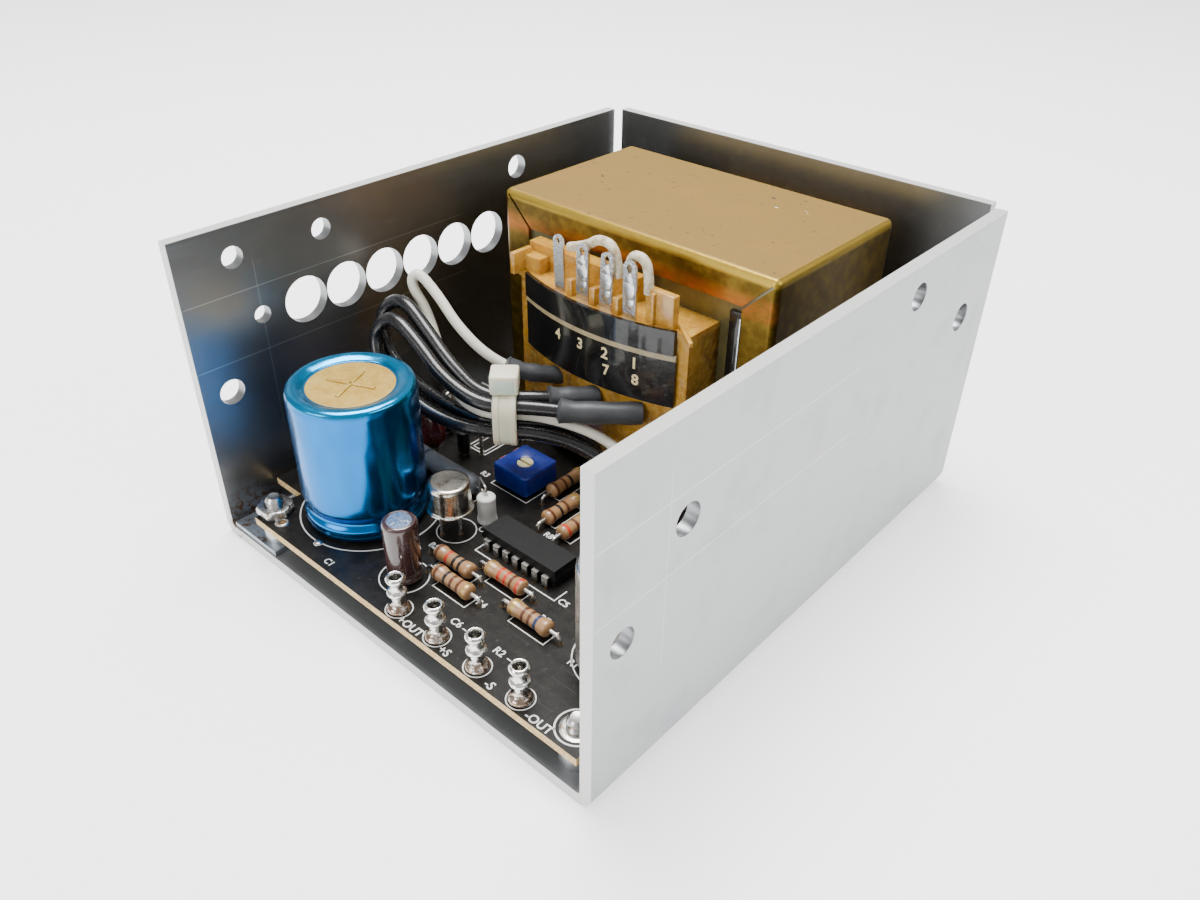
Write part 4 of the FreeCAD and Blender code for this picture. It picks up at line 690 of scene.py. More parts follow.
def make_small_capacitor():
    """A dark sleeved can whose pale top has a scored vent."""
    where, r, tall = standing("small_capacitor")
    bm = bmesh.new()
    sleeve = [(0, 0.1), (r - 0.6, 0.1), (r - 0.1, 0.5), (r, 1.2), (r - 0.35, 1.8), (r, 2.5), (r, tall - 0.7),
              (r - 0.3, tall - 0.1), (r - 0.8, tall), (r - 0.95, tall - 0.25)]
    lathe(bm, rounded(sleeve, 0.3), where, 64)
    lathe(bm, [(r - 0.95, tall - 0.25), (r - 1.0, tall - 0.15), (0, tall - 0.1)], where, 64, lambda height: 1)
    for turn in (30, 150, 270):
        block(bm, (0.15, -0.07, tall - 0.2), (r - 1.25, 0.07, tall - 0.05), 0.03,
              where @ at(0, 0, 0, ("Z", turn)), 1)
    bmesh.ops.remove_doubles(bm, verts=bm.verts, dist=1e-7)
    piece("small_capacitor_can", bm, [BROWN_FILM, CAN_TOP], ["small_capacitor"])


def make_side_capacitor():
    """The can by the right wall: a pale wrinkled film, with a bare metal ring at the top."""
    where, r, tall = standing("side_capacitor")
    profile = [(0, 0.1), (r - 0.8, 0.1), (r - 0.1, 0.6), (r - 0.05, 1.6), (r - 0.6, 2.3), (r - 0.02, 3.1),
               (r - 0.02, tall - 1.0), (r - 0.4, tall - 0.2), (r - 1.2, tall), (r - 1.5, tall - 0.4),
               (r - 1.8, tall - 0.5), (0, tall - 0.5)]
    turned("side_capacitor_can", rounded(profile, 0.35), where, 72, [PALE_FILM, CAN_TOP],
           "side_capacitor", lambda height: int(height > tall - 0.45))


def make_disc_capacitor():
    """A dipped wafer, fat in the middle and thin at its rim."""
    low, high = box_mm("disc_capacitor")
    r = (high.x - low.x) / 2
    half = (high.y - low.y) / 2
    count = 9
    angles = [math.pi * k / 2 / count for k in range(count)]
    profile = [(r * math.sin(a), -half * math.cos(a) ** 0.7) for a in angles] + [(r, 0)]
    profile += [(x, -y) for x, y in reversed(profile[:-1])]
    turned("disc_capacitor_body", profile, at(*centre_of((low, high)), ("X", 90)), 64, [DISC_RED],
           "disc_capacitor")


# ---- other parts on the board

def make_transistor():
    """The round can: a rolled flange, and a top with a soft edge."""
    where, flange, tall = standing("driver_transistor")
    can = flange - 0.42
    profile = [(0, 0.25), (can - 0.5, 0.25), (can - 0.3, 0), (flange - 0.15, 0), (flange, 0.2),
               (flange - 0.1, 0.5), (can + 0.1, 0.55), (can, 0.8), (can, tall - 0.8),
               (can - 0.25, tall - 0.15), (can - 0.8, tall), (0, tall)]
    turned("driver_transistor_can", rounded(profile, 0.3, 5), where, 72, [NICKEL],
           "driver_transistor")


def make_upright_part():
    """The short white part on end, with eased edges and a slight waist."""
    where, r, tall = standing("upright_capacitor")
    profile = [(0, 0), (r - 0.15, 0), (r, 0.5), (r - 0.22, 1.6), (r - 0.25, tall - 1.2),
               (r - 0.15, tall - 0.4), (r - 0.7, tall - 0.02), (0, tall)]
    turned("upright_capacitor_body", rounded(profile, 0.4, 5), where, 48, [WHITE_PART],
           "upright_capacitor")


def cut_at(profile, heights):
    """A profile with a point added wherever it crosses one of the heights."""
    points = []
    for (r0, z0), (r1, z1) in zip(profile, profile[1:]):
        points.append((r0, z0))
        points += [(r0 + (r1 - r0) * (h - z0) / (z1 - z0), h) for h in heights if z0 + 1e-6 < h < z1 - 1e-6]
    return points + [profile[-1]]


def make_film_resistors():
    """Dog-bone bodies in tan lacquer, each with its own colour bands.

    A band is (place along the body from 0 to 1, name); each is 0.07 of the length wide.
    """
    names = list(BANDS)
    half_band = 0.035
    codes = {
        "front_resistors": [
            [(0.10, "brown"), (0.36, "red"), (0.56, "black"), (0.72, "black"), (0.90, "tan")],
            [(0.12, "brown"), (0.36, "black"), (0.54, "brown"), (0.72, "brown"), (0.90, "gold")],
            [(0.12, "gold"), (0.40, "red"), (0.57, "red"), (0.72, "brown"), (0.90, "red")],
            [(0.14, "gold"), (0.40, "brown"), (0.56, "brown"), (0.72, "blue"), (0.90, "tan")]],
        "back_resistors": [
            [(0.12, "brown"), (0.38, "brown"), (0.56, "black"), (0.86, "gold")],
            [(0.14, "brown"), (0.38, "black"), (0.56, "brown"), (0.86, "gold")],
            [(0.14, "red"), (0.40, "brown"), (0.58, "gold"), (0.86, "gold")]],
        "little_resistor": [[(0.14, "red"), (0.38, "red"), (0.60, "brown"), (0.86, "gold")]],
    }
    for node, rows in codes.items():
        bm = bmesh.new()
        for (low, high), bands in zip(islands(node), rows):
            size = high - low
            along_y = size.y > size.x
            length = max(size.x, size.y)
            half = length / 2
            end = size.z / 2
            shape = [(0, -half), (end * 0.55, -half + 0.02), (end * 0.93, -half + 0.35), (end, -half + 0.9),
                     (end * 0.97, -half + 1.7), (end * 0.85, -half + 2.4)]
            shape += [(radius, -height) for radius, height in reversed(shape)]
            places = sorted({(spot + side) * length - half
                             for spot, _ in bands for side in (-half_band, half_band)})

            def colour(height, bands=bands, half=half, length=length):
                share = (height + half) / length
                hit = [name for spot, name in bands if abs(share - spot) < half_band + 0.0002]
                return names.index(hit[0]) if hit else 0

            lathe(bm, cut_at(rounded(shape, 0.35, 3), places),
                  at(*centre_of((low, high)), ("X", -90) if along_y else ("Y", 90)), 32, colour)
        piece(node + "_bodies", bm, list(BANDS.values()), [node])


def make_power_resistor():
    """The fat grey resistor, slightly lumpy, with one dark ring near an end."""
    low, high = box_mm("power_resistor")
    r = (high.z - low.z) / 2
    half = (high.x - low.x) / 2
    profile = [(0, -half), (r * 0.6, -half), (r * 0.95, -half + 0.8), (r, -half + 2.2),
               (r * 0.93, -half + 3.4), (r * 0.93, -half + 4.0), (r * 0.95, -half + 5.2), (r * 0.93, 0),
               (r * 0.95, half - 4.5),
               (r, half - 2.2), (r * 0.95, half - 0.8), (r * 0.6, half), (0, half)]
    turned("power_resistor_body", rounded(profile, 0.7, 4), at(*centre_of((low, high)), ("Y", 90)), 48,
           [CEMENT, BANDS["blue"]], "power_resistor",
           lambda height: int(-half + 3.4 < height < -half + 4.0))


def make_diodes():
    """Four diodes on end, each with its silver band at the top."""
    bm = bmesh.new()
    for low, high in islands("rectifier_diodes"):
        r = (high.x - low.x) / 2
        tall = high.z - low.z
        centre = centre_of((low, high))
        profile = [(0, 0), (r - 0.2, 0), (r, 0.3), (r, tall - 2.3), (r + 0.0001, tall - 2.2), (r, tall - 1.2),
                   (r, tall - 1.1), (r, tall - 0.3), (r - 0.2, tall), (0, tall)]
        lathe(bm, rounded(profile, 0.1, 2), at(centre.x, centre.y, low.z), 40,
              lambda height, tall=tall: int(tall - 2.2 < height < tall - 1.2))
    piece("rectifier_bodies", bm, [BLACK_GLOSS, SILVER_INK], ["rectifier_diodes"])


def make_chip():
    """The chip's body with its moulding line, end notch and round mark."""
    low, high = box_mm("regulator_chip")
    middle = (low.z + high.z) / 2
    draft = 0.35
    bm = bmesh.new()
    for face in (low.z, high.z):
        loops = []
        for inset, z in ((draft, face), (0.0, middle)):
            left, right, front, back = low.x + inset, high.x - inset, low.y + inset, high.y - inset
            outline = [(left, front, z), (right, front, z), (right, back, z), (left, back, z)]
            loops.append(corners(bm, outline))
        bm.faces.new(loops[0])
        skin(bm, loops)
    bmesh.ops.remove_doubles(bm, verts=bm.verts, dist=1e-6)
    bmesh.ops.bevel(bm, geom=list(bm.edges), offset=0.12 * MM, segments=2, affect="EDGES", profile=0.5)
    mark, notch = (low.x + 1.6, low.y + 1.7), (low.x + 1.2, (low.y + high.y) / 2)
    for (x, y), outer, inner in ((mark, 0.95, 0.75), (notch, 1.0, 0.8)):
        lathe(bm, [(outer, high.z - 0.02), (0.9, high.z + 0.03), (inner, high.z - 0.02)], at(x, y, 0), 32)
    piece("regulator_chip_body", bm, [EPOXY], ["regulator_chip"])


def make_turrets():
    """Swaged terminals: a domed foot, a waist, a middle collar, and a flared, hollow top."""
    surface = turret_surface()
    board_low, board_high = box_mm("circuit_board")
    thick = board_high.z - board_low.z
    for node in TURRETS:
        low, high = box_mm(node)
        centre = centre_of((low, high))
        top = high.z - board_high.z
        under = low.z - board_high.z
        foot = (high.x - low.x) / 2
        flange = foot * 0.84
        shank = foot * 0.53
        bore = foot * 0.44
        profile = [(0, under), (flange - 0.3, under), (flange, -thick - 0.1), (shank, -thick), (shank, 0),
                   (foot, 0), (foot, 0.55), (foot - 0.35, 1.0), (shank + 0.35, 1.2), (shank, 1.8),
                   (shank, 3.2), (shank + 0.15, 3.5), (flange, 3.75), (flange, 4.35),
                   (shank + 0.1, 4.65), (shank, 5.2), (shank + 0.1, top - 1.5),
                   (flange - 0.1, top - 1.0), (flange, top - 0.45),
                   (flange - 0.35, top), (bore + 0.2, top), (bore, top - 0.5), (bore - 0.1, 2.2), (0, 2.0)]
        turned(node.replace("turret", "terminal"), rounded(profile, 0.25, 4),
               at(centre.x, centre.y, board_high.z), 48, [surface], node)


def make_trimmer():
    """The square housing with eased edges, corner feet and a round well, and its slotted rotor."""
    where, half, tall = standing("trimmer_housing")
    rotor_where, rotor, rotor_tall = standing("trimmer_rotor")
    rotor_foot = box_mm("trimmer_rotor")[0].z - box_mm("trimmer_housing")[0].z
    well = rotor + 0.06
    steps = 48
    square = [(x / max(abs(x), abs(y)), y / max(abs(x), abs(y))) for x, y in ring(1.0, steps, 0.5)]
    rings = [[(x * (half - inset), y * (half - inset), z) for x, y in square]
             for inset, z in ((0.5, 0.0), (0.1, 0.4), (0.0, 0.45), (0.0, tall - 0.25), (0.22, tall))]
    rings += [[(x, y, z) for x, y in ring(radius, steps, 0.5)]
              for radius, z in ((well + 0.35, tall), (well + 0.05, tall - 0.2), (well, tall - 0.4),
                                (well, rotor_foot - 0.02))]
    bm = bmesh.new()
    made = [corners(bm, points, where) for points in rings]
    bm.faces.new(made[0])
    bm.faces.new(made[-1])
    skin(bm, made)
    piece("trimmer_case", bm, [TRIMMER_BLUE], ["trimmer_housing"])

    r = rotor - 0.02
    slot_half, slot_deep = 0.3, 0.7
    start = math.degrees(math.asin(slot_half / rotor))
    bm = bmesh.new()
    for side in (-1, 1):
        cheek = circle(0, 0, r, start, 180 - start, 28)[::side]
        prism(bm, [(x, side * y) for x, y in cheek], rotor_tall - slot_deep, rotor_tall, 0.07, rotor_where)
    level = rotor_tall - slot_deep + 0.02
    lathe(bm, rounded([(0, 0), (r, 0), (r, level), (0, level)], 0.06, 2), rotor_where, 56)
    piece("trimmer_screw", bm, [CREAM], ["trimmer_rotor"], "trimmer_rotor")


# ---- leads, sleeves and tie

# The points that each lead follows, in millimetres, from the coil to its hole in the board.
ROUTES = {
    "black_lead_1": [(11.2, -2.2, 28.4), (3.4, -10.2, 28.6), (-4.6, -17.5, 30.0), (-11.4, -23.5, 30.1),
                     (-20.3, -25.0, 33.0), (-29.0, -23.8, 37.4), (-37.2, -23.4, 41.0), (-41.8, -24.8, 36.0),
                     (-38.3, -27.2, 30.2), (-30.2, -27.4, 27.0), (-20.6, -27.0, 25.0), (-11.4, -23.5, 24.3),
                     (-4.6, -17.5, 24.4), (2.0, -11.6, 22.0), (8.6, -8.6, 18.4), (10.2, -6.8, 13.2),
                     (10.2, -6.8, 8.0)],
    "black_lead_2": [(0.6, -3.4, 28.4), (-3.0, -9.2, 29.0), (-6.8, -15.1, 30.1), (-13.6, -21.1, 30.0),
                     (-22.0, -21.6, 34.2), (-30.4, -20.3, 38.6), (-38.6, -19.5, 43.0), (-44.4, -20.8, 38.4),
                     (-41.8, -22.8, 31.6), (-33.6, -23.5, 27.8), (-23.6, -23.0, 25.4), (-13.6, -21.1, 24.4),
                     (-6.8, -15.1, 24.3), (-1.8, -9.6, 23.2), (3.2, -6.9, 19.2), (4.6, -6.3, 13.8),
                     (4.6, -6.3, 8.0)],
    "white_lead": [(-10.4, -1.9, 28.4), (-14.0, -8.4, 29.8), (-19.6, -13.4, 33.4), (-26.2, -15.4, 38.6),
                   (-32.6, -15.0, 43.8), (-38.0, -15.4, 47.6), (-39.2, -16.6, 44.8), (-35.4, -16.0, 40.0),
                   (-30.6, -17.8, 35.2), (-25.0, -20.6, 31.4), (-18.9, -22.9, 28.8), (-12.4, -22.3, 27.2),
                   (-5.8, -16.3, 27.3), (0.8, -10.6, 25.2), (8.4, -7.6, 22.8), (14.4, -7.0, 18.6),
                   (15.6, -6.8, 13.4), (15.6, -6.8, 8.0)],
}
LEAD_SIZES = {"black_lead_1": 2.9, "black_lead_2": 2.9, "white_lead": 2.1}
TIE_CENTRE = (-9.1, -19.3, 27.2)
TIE_HEADING = 41.8


def make_leads():
    """Three leads, each with a shrunk grey sleeve where it leaves the coil."""
    rng = random.Random(5)
    bm = bmesh.new()
    for name, points in ROUTES.items():
        diameter = LEAD_SIZES[name]
        cover, slot = (BLACK_PVC, "lead_black") if name.startswith("black") else (WHITE_PVC, "lead_white")
        line = line_of(wire(name + "_wire", points, diameter, cover, [name]))
        first, second, third = (Vector(p) for p in points[:3])
        reach = (second - first).length + 0.55 * (third - second).length
        path = [line[0]]
        for point in line[1:]:
            if (point - path[-1]).length > 0.35 * MM:
                path.append(point)
            if sum((b - a).length for a, b in zip(path, path[1:])) > reach * MM:
                break
        bore = diameter / 2 + 0.12
        radii = []
        for k in range(len(path)):
            share = k / (len(path) - 1)
            swell = 0.62 if share < 0.8 else 0.62 + 0.5 * (share - 0.8) / 0.2
            radii.append(bore + swell * 1.05 + 0.09 * math.sin(k * 1.9) + rng.uniform(-0.05, 0.05))
        hose(bm, path + path[-2:-6:-1], radii + [radii[-1] - 0.35] + [bore] * 3, 28)
    piece("sleeves", bm, [GREY_SHRINK], ["lead_sleeves"])


def make_tie():
    """The nylon tie: a fine-ribbed strap with eased edges, and a chunky head with its tail cut off short."""
    turn = at(*TIE_CENTRE, ("Z", TIE_HEADING))
    across, up, thick, half = 3.45, 4.65, 1.1, 2.3
    corner = 2.2
    rib = half * 0.5

    def loop(x, grow):
        points = []
        for sx, sz, start in ((1, 1, 0), (-1, 1, 90), (-1, -1, 180), (1, -1, 270)):
            points += circle(sx * (across - corner), sz * (up - corner), corner + grow, start, start + 90, 10)
        return [(x, y, z) for y, z in points]

    section = [(-half, 0.06), (-half, thick - 0.25), (-half + 0.25, thick - 0.03), (-rib, thick - 0.03),
               (-rib + 0.2, thick - 0.22), (rib - 0.2, thick - 0.22), (rib, thick - 0.03),
               (half - 0.25, thick - 0.03), (half, thick - 0.25), (half, 0.06)]
    bm = bmesh.new()
    skin(bm, [corners(bm, loop(x, grow), turn) for x, grow in section], True)
    piece("tie_strap", bm, [NYLON], ["cable_tie_strap"])

    bm = bmesh.new()
    low = up + thick
    block(bm, (-2.75, -2.6, low + 0.02), (2.75, 2.6, low + 4.15), 0.45, turn)
    block(bm, (-1.9, -2.68, low + 0.5), (1.9, -2.2, low + 3.2), 0.2, turn)
    piece("tie_head", bm, [NYLON], ["cable_tie_head"])


# ---- printing on the board

def stroke(bm, points, width, level, closed=False):
    """Add a flat printed line along (x, y) points, all in millimetres."""
    spots = [Vector(p) for p in points]
    if closed and (spots[0] - spots[-1]).length < 1e-6:
        spots.pop()
    pairs = []
    for i, spot in enumerate(spots):
        last = spots[i - 1] if closed or i else None
        after = spots[(i + 1) % len(spots)] if closed or i < len(spots) - 1 else None
        leave = (after - spot).normalized() if after else (spot - last).normalized()
        arrive = (spot - last).normalized() if last else leave
        along = (arrive + leave).normalized()
        side = Vector((-along.y, along.x))
        reach = width / 2 / max(0.4, side.dot(Vector((-leave.y, leave.x))))
        pairs.append([bm.verts.new(Vector((*(spot + side * sign * reach), level)) * MM) for sign in (1, -1)])
    for a, b in zip(pairs, pairs[1:] + (pairs[:1] if closed else [])):
        bm.faces.new((a[0], a[1], b[1], b[0]))


def letters(bm, text, size, where, weight=0.018):
    """Add flat letters about a place; their size in millimetres is that of the whole line of type."""
    curve = bpy.data.curves.new("letters", "FONT")
    curve.body = text
    curve.size = size * MM
    curve.align_x = "CENTER"
    curve.align_y = "CENTER"
    curve.offset = weight * size * MM
    curve.resolution_u = 4
    probe = bpy.data.objects.new("letters", curve)
    mesh = bpy.data.meshes.new_from_object(probe)
    old = set(bm.verts)
    bm.from_mesh(mesh)
    bmesh.ops.transform(bm, matrix=where, verts=[v for v in bm.verts if v not in old])
    bpy.data.meshes.remove(mesh)
    bpy.data.objects.remove(probe)
    bpy.data.curves.remove(curve)


def thicken(bm, rise):
    """Give flat faces a thickness along a rise in millimetres."""
    made = bmesh.ops.extrude_face_region(bm, geom=list(bm.faces), use_keep_orig=True)
    verts = [g for g in made["geom"] if isinstance(g, bmesh.types.BMVert)]
    bmesh.ops.translate(bm, verts=verts, vec=Vector(rise) * MM)


def frame_round(box, grow_x, grow_y, shift=(0, 0)):
    """The corners of a rectangle round a box, which the printed outline follows."""
    low, high = box
    return [(low.x - grow_x + shift[0], low.y - grow_y + shift[1]),
            (high.x + grow_x + shift[0], low.y - grow_y + shift[1]),
            (high.x + grow_x + shift[0], high.y + grow_y + shift[1]),
            (low.x - grow_x + shift[0], high.y + grow_y + shift[1])]


def front_right_stud():
    return centre_of(max(islands("small_studs"), key=lambda box: box[0].x - box[0].y))


def make_printing():
    """White component outlines and plain designators, with the outputs' polarity marks."""
    level = box_mm("circuit_board")[1].z + 0.003
    rng = random.Random(11)
    bm = bmesh.new()
    metal_can = centre_of(box_mm("driver_transistor"))
    rounds = [(centre_of(box_mm(node)), 0, 0, 2.42, 0, 360, 48, 0.22) for node in TURRETS]
    rounds += [(centre_of(box_mm("filter_capacitor")), 0, 0.9, 14.0, 128, 398, 100, 0.26),
               (centre_of(box_mm("small_capacitor")), -0.3, -0.1, 4.6, 0, 360, 60, 0.24),
               (metal_can, 1.1, 0.15, 3.85, 0, 360, 56, 0.24), (metal_can, 4.6, 3.9, 0.75, 0, 360, 24, 0.2),
               (centre_of(box_mm("side_capacitor")), 0, 0, 8.6, 100, 300, 60, 0.24),
               (front_right_stud(), 0, 0, 3.6, 0, 360, 48, 0.3)]
    for centre, dx, dy, radius, start, stop, steps, width in rounds:
        points = circle(centre.x + dx, centre.y + dy, radius, start, stop, steps)
        stroke(bm, points, width, level, stop - start == 360)
    low, high = box_mm("regulator_chip")
    stroke(bm, [(low.x + 0.2, low.y + 0.2), (low.x + 0.2, low.y - 2.1), (high.x + 1.9, low.y - 2.1),
                (high.x + 1.9, low.y + 1.2)], 0.22, level)
    for box in islands("front_resistors"):
        frame_corners = frame_round(box, -0.5, 0.35, (0.75, -0.1))
        stroke(bm, frame_corners[3:] + frame_corners[:3], 0.2, level)
    for box in islands("back_resistors"):
        stroke(bm, frame_round(box, 0.35, -0.8), 0.2, level, True)
    low, high = box_mm("trimmer_housing")
    stroke(bm, [(low.x - 0.15, low.y + 1.2), (low.x - 0.15, low.y - 0.5), (high.x + 0.6, low.y - 0.5),
                (high.x + 0.6, high.y)], 0.22, level)
    stroke(bm, [(-27.3, -14.4), (-21.9, -14.4), (-21.9, -5.4), (-27.3, -5.4)], 0.24, level, True)
    stroke(bm, [(-26.3, -13.6), (-22.8, -13.6), (-22.8, -6.2), (-26.3, -6.2)], 0.2, level, True)
    stroke(bm, [(-31.5, -9.8), (-29.3, -9.8), (-29.3, -3.2)], 0.24, level)
    low, high = box_mm("power_resistor")
    stroke(bm, [(high.x + 0.4, low.y - 0.5), (high.x + 0.4, high.y + 0.5)], 0.22, level)
    texts = [("+OUT", 7.2, -58.7, 2.25), ("+S", 16.0, -58.6, 2.25), ("-S", 27.0, -58.6, 2.25),
             ("-OUT", 38.4, -58.8, 2.25), ("R4", 12.1, -46.6, 1.9), ("R5", -6.4, -41.8, 1.9),
             ("R8", 7.5, -24.8, 1.9), ("C6", 12.4, -52.7, 2.1), ("R2", 22.9, -52.5, 2.1),
             ("C5", 22.6, -36.6, 1.9), ("R1", 33.9, -46.1, 1.9), ("R7", 23.0, -41.8, 1.9),
             ("C1", -17.0, -58.1, 1.9), ("R6", -13.6, -31.0, 1.9), ("R3", -16.6, -19.2, 1.9)]
    for text, x, y, size in texts:
        letters(bm, text, size, at(x + rng.uniform(-0.05, 0.05), y, level))
    stroke(bm, [(14.2, -52.9), (17.4, -52.9)], 0.22, level)
    stroke(bm, [(24.9, -52.6), (27.6, -52.6)], 0.22, level)
    thicken(bm, (0, 0, 0.02))
    piece("board_printing", bm, [WHITE_INK], sharp=30)


def make_pads():
    """Tinned rings: the eyelet at the front left, the land round the front right stud, and a lone dab."""
    level = box_mm("circuit_board")[1].z
    bm = bmesh.new()
    stud = front_right_stud()
    eyelet = [(0.7, -1.2), (0.7, 0.22), (1.15, 0.30), (1.45, 0.05)]
    land = [(1.6, 0), (1.7, 0.16), (2.5, 0.14), (2.9, 0)]
    lathe(bm, rounded(eyelet, 0.12, 3), at(-33.61, -57.2, level), 36)
    lathe(bm, rounded(land, 0.1, 3), at(stud.x, stud.y, level), 40)
    lathe(bm, [(0.95, 0), (0.75, 0.22), (0.35, 0.34), (0, 0.36)], at(-23.3, -56.1, level), 28)
    piece("board_lands", bm, [TINNED], sharp=50)


# ---- fasteners

def thread(bm, x, y, low, high, radius):
    """Add a short threaded shank with a chamfered end."""
    profile = [(0, low), (radius * 0.82, low)]
    height = low + 0.15
    while height < high - 0.55:
        profile += [(radius * 0.84, height), (radius, height + 0.25)]
        height += 0.5
    profile += [(radius * 0.84, high - 0.3), (radius * 0.66, high), (radius * 0.3, high - 0.08),
                (0, high - 0.1)]
    lathe(bm, profile, at(x, y, 0), 28)


def nut(bm, box):
    """Add a hexagon nut whose corners are turned down at the top, round a plain bore."""
    low, high = box
    centre = centre_of(box)
    flats = min(high.x - low.x, high.y - low.y)
    corner = flats / math.sqrt(3)
    bore = flats * 0.29
    steps = 36
    rings = []
    for share, z in ((1.0, low.z), (1.0, high.z - 0.45), (0.93, high.z - 0.08), (0.84, high.z)):
        loop = []
        for k, (x, y) in enumerate(ring(1.0, steps)):
            off = 360 * k / steps % 60 - 30
            reach = min(flats / 2 / math.cos(math.radians(off)), corner * share)
            loop.append((reach * x, reach * y, z))
        rings.append(loop)
    for radius, z in ((bore + 0.3, high.z), (bore, high.z - 0.3), (bore, low.z)):
        rings.append([(x, y, z) for x, y in ring(radius, steps)])
    skin(bm, [corners(bm, loop, at(centre.x, centre.y, 0)) for loop in rings], True)


def make_fasteners():
    """Hexagon nuts, and studs with a flat head and a threaded end."""
    for nuts in ("small_nuts", "transformer_nuts"):
        bm = bmesh.new()
        for box in islands(nuts):
            nut(bm, box)
        piece(nuts + "_faces", bm, [STEEL], [nuts], sharp=30)
    bm = bmesh.new()
    for low, high in islands("small_studs") + islands("transformer_studs"):
        centre = centre_of((low, high))
        head = (high.x - low.x) / 2
        shank = 1.75 if head < 3.5 else 2.0
        collar = low.z + 0.9
        lathe(bm, [(0, low.z + 0.001), (head - 0.1, low.z + 0.001), (head, low.z + 0.1), (head, collar),
                   (shank * 0.9, collar)], at(centre.x, centre.y, 0), 32)
        thread(bm, centre.x, centre.y, collar, high.z, shank)
    piece("stud_threads", bm, [STEEL], ["small_studs", "transformer_studs"])


# ---- transformer

def holed(bm, outline, centre, hole, low, high, where):
    """Add a plate over a convex outline, with an oval hole, between two levels."""
    inner = []
    for x, y in outline:
        away = math.atan2(y - centre[1], x - centre[0])
        inner.append((centre[0] + hole[0] * math.cos(away), centre[1] + hole[1] * math.sin(away)))
    loops = ((outline, low), (outline, high), (inner, high), (inner, low))
    skin(bm, [corners(bm, [(x, y, z) for x, y in loop], where) for loop, z in loops], True)


def blob(bm, where, size):
    """Add a drop of solder: a ball stretched to a size in millimetres."""
    bmesh.ops.create_uvsphere(bm, u_segments=20, v_segments=14, radius=MM,
                              matrix=where @ Matrix.Diagonal((*size, 1)))


def make_lugs():
    """Four flat lugs with rounded, drilled ends; three carry solder, and the first is bare and bent."""
    rng = random.Random(3)
    lugs = islands("terminal_lugs")
    bm = bmesh.new()
    for i, ((low, high), lean) in enumerate(zip(lugs, (-2.5, 0, 1.5, -1))):
        centre = centre_of((low, high))
        half = (high.x - low.x) / 2 * (0.95 if i else 0.78)
        tall = high.z - low.z
        top = tall - half * 0.95
        outline = circle(0, top, half, 0, 180, 18)
        outline += [(half * x, tall * y) for x, y in ((-1, 0.5), (-1, 0.25), (-1, 0), (-0.4, 0), (0.4, 0),
                                                      (1, 0), (1, 0.25), (1, 0.5))]
        where = at(centre.x, centre.y, low.z, ("Y", lean)) @ at(0, 0, 0, ("X", 90))
        holed(bm, outline, (0, top - 0.15), (half * 0.42, half * 0.66), -0.24, 0.24, where)
        if i:
            blob(bm, where @ at(0.05, tall * 0.50, 0.10), (half * 0.92, tall * 0.22, 0.52))
            blob(bm, where @ at(rng.uniform(-0.2, 0.2), tall * 0.68, 0.12), (half * 0.7, tall * 0.12, 0.42))
            blob(bm, where @ at(0.0, tall * 0.30, 0.05), (half * 0.8, tall * 0.16, 0.40))
    piece("lug_plates", bm, [SOLDER], ["terminal_lugs"], sharp=40)

    x0, x1, x2, x3 = (centre_of(box).x for box in lugs)
    top = box_mm("terminal_lugs")[1].z
    loops = ([(x0 + 0.9, -2.6), (x1 - 0.6, -1.2), (x1 + 2.7, 1.4), (x2 + 1.2, 0.4), (x2 + 1.5, -5.0)],
             [(x2 + 3.9, -4.5), (x2 + 4.1, 0.2), (x3 + 1.4, 0.7), (x3 + 2.9, -1.6), (x3 + 3.0, -6.0)])
    back = centre_of(lugs[0]).y + 1.7
    surface = link_surface()
    for k, loop in enumerate(loops, 1):
        points = [(x, back, top + z) for x, z in loop]
        wire(f"lug_link_{k}", points, 1.9, surface, ["lug_links"])


def make_former_details():
    """Raised edges, ribs and posts of the amber former, round its lugs and on its right-hand shelf."""
    low, high = box_mm("bobbin")
    lugs = [centre_of(b) for b in islands("terminal_lugs")]
    flange = high.z - 5.0
    bm = bmesh.new()
    right = lugs[3].x + 2.6
    block(bm, (right, -0.9, flange - 0.3), (right + 6.6, 0.9, flange + 6.6), 0.25)
    block(bm, (right + 1.6, -1.6, flange), (right + 2.5, 0.4, flange + 6.2), 0.2)
    for lug, after in zip(lugs, lugs[1:]):
        x = (lug.x + after.x) / 2
        block(bm, (x - 0.7, lugs[0].y - 0.9, flange - 0.2), (x + 0.7, lugs[0].y + 1.6, flange + 3.4), 0.3)
    block(bm, (low.x + 0.3, -3.1, flange - 0.2), (low.x + 1.5, 2.2, flange + 4.4), 0.25)
    block(bm, (-4.6, -0.4, -0.2), (4.6, 0.4, 0.75), 0.2, at(right + 9.2, -0.6, flange + 0.1, ("Z", -38)))
    piece("former_details", bm, [AMBER], sharp=45)


def make_side_tape_and_gap_shade():
    """Black tape down the core's face beside the cover's right lip, which also stands as painted shade for
    the dark gap there, with a bright strip of sheet edge.
    """
    low, high = box_mm("transformer_cover")
    lip = box_mm("transformer_core")[1].x - 6.2
    bm = bmesh.new()
    # This black block is partly real tape and partly painted shade filling the gap beside the lip.
    block(bm, (lip - 2.6, low.y + 0.05, 6), (lip + 0.4, low.y + 0.75, high.z - 8.4), 0.2)
    piece("side_tape_and_gap_shade", bm, [TAPE])
    bm = bmesh.new()
    block(bm, (lip - 0.2, low.y - 0.25, 6), (lip + 0.15, low.y + 0.5, high.z - 9.5), 0.08)
    piece("side_tape_edge", bm, [CAN_TOP])


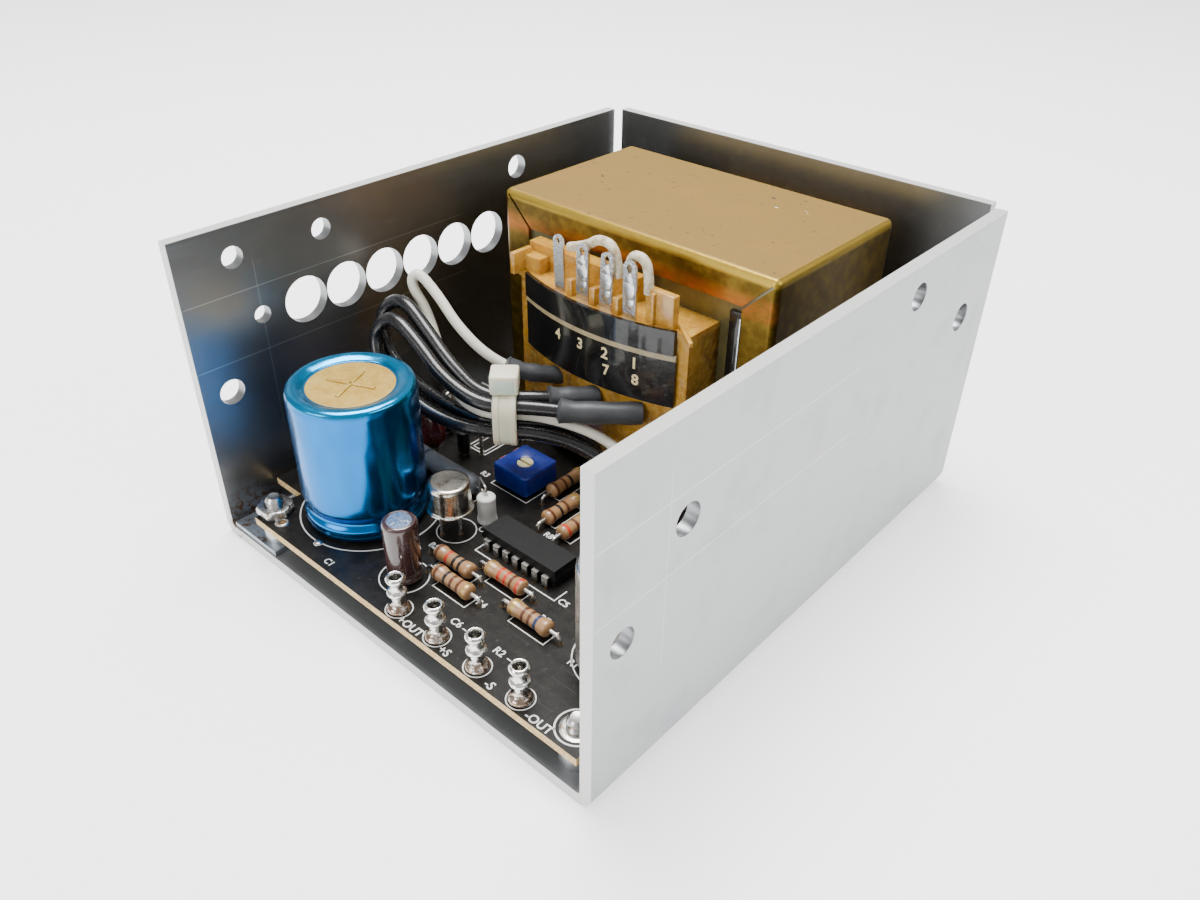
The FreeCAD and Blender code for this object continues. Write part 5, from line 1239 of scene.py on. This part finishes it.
def surface_of(node, x, z):
    """The turn about Z and the Y of a node's front surface at a place, in radians and millimetres."""
    spots = []
    for dx in (-0.4, 0.4, 0):
        hit, spot, _, _ = NODES[node].ray_cast(Vector((x + dx, -200, z)) * MM, Vector((0, 1, 0)))
        spots.append(spot / MM if hit else Vector((x + dx, box_mm(node)[0].y, z)))
    return math.atan2(spots[1].y - spots[0].y, 0.8), spots[2].y


def make_band_numbers():
    """Pale numerals on the numbered band: each stands on the band's curve, just proud of it."""
    high = box_mm("number_band")[1]
    rng = random.Random(9)
    bm = bmesh.new()
    for text, x, drop, size in (("1", 9.6, 2.3, 3.3), ("8", 9.9, 5.8, 3.1), ("2", 3.0, 2.2, 3.3),
                                ("7", 3.4, 5.7, 3.1), ("3", -3.2, 2.3, 3.2), ("4", -9.6, 2.5, 3.2)):
        z = high.z - drop
        lean, gap = surface_of("number_band", x, z)
        where = at(x, gap - 0.03, z) @ Matrix.Rotation(lean, 4, "Z") @ at(0, 0, 0, ("X", 90))
        letters(bm, text, size, where @ at(0, 0, 0, ("Z", rng.uniform(-4, 4))), 0.025)
    thicken(bm, (0, -0.02, 0))
    piece("band_numbers", bm, [GOLD_INK], sharp=30)


# ---- floor, and the end of the script

def make_floor():
    """A wide sheet of white paper, a hair below the object; sizes in metres."""
    mesh = bpy.data.meshes.new("floor")
    reach = 1.6
    level = -0.00002
    corner_points = [(x * reach, y * reach, level) for x, y in ((-1, -1), (1, -1), (1, 1), (-1, 1))]
    mesh.from_pydata(corner_points, [], [(0, 1, 2, 3)])
    paper = Surface("paper", (0.97, 0.975, 0.98), 0.9, Emission_Color=(1, 1, 1, 1), Emission_Strength=1.0)
    mesh.materials.append(paper.material)
    floor = bpy.data.objects.new("floor", mesh)
    bpy.context.scene.collection.objects.link(floor)


finish_cad_nodes()
make_filter_capacitor()
make_small_capacitor()
make_side_capacitor()
make_disc_capacitor()
make_transistor()
make_upright_part()
make_film_resistors()
make_power_resistor()
make_diodes()
make_chip()
make_turrets()
make_trimmer()
make_leads()
make_tie()
make_printing()
make_pads()
make_fasteners()
make_lugs()
make_former_details()
make_side_tape_and_gap_shade()
make_band_numbers()
make_floor()
make_camera()
make_lights()
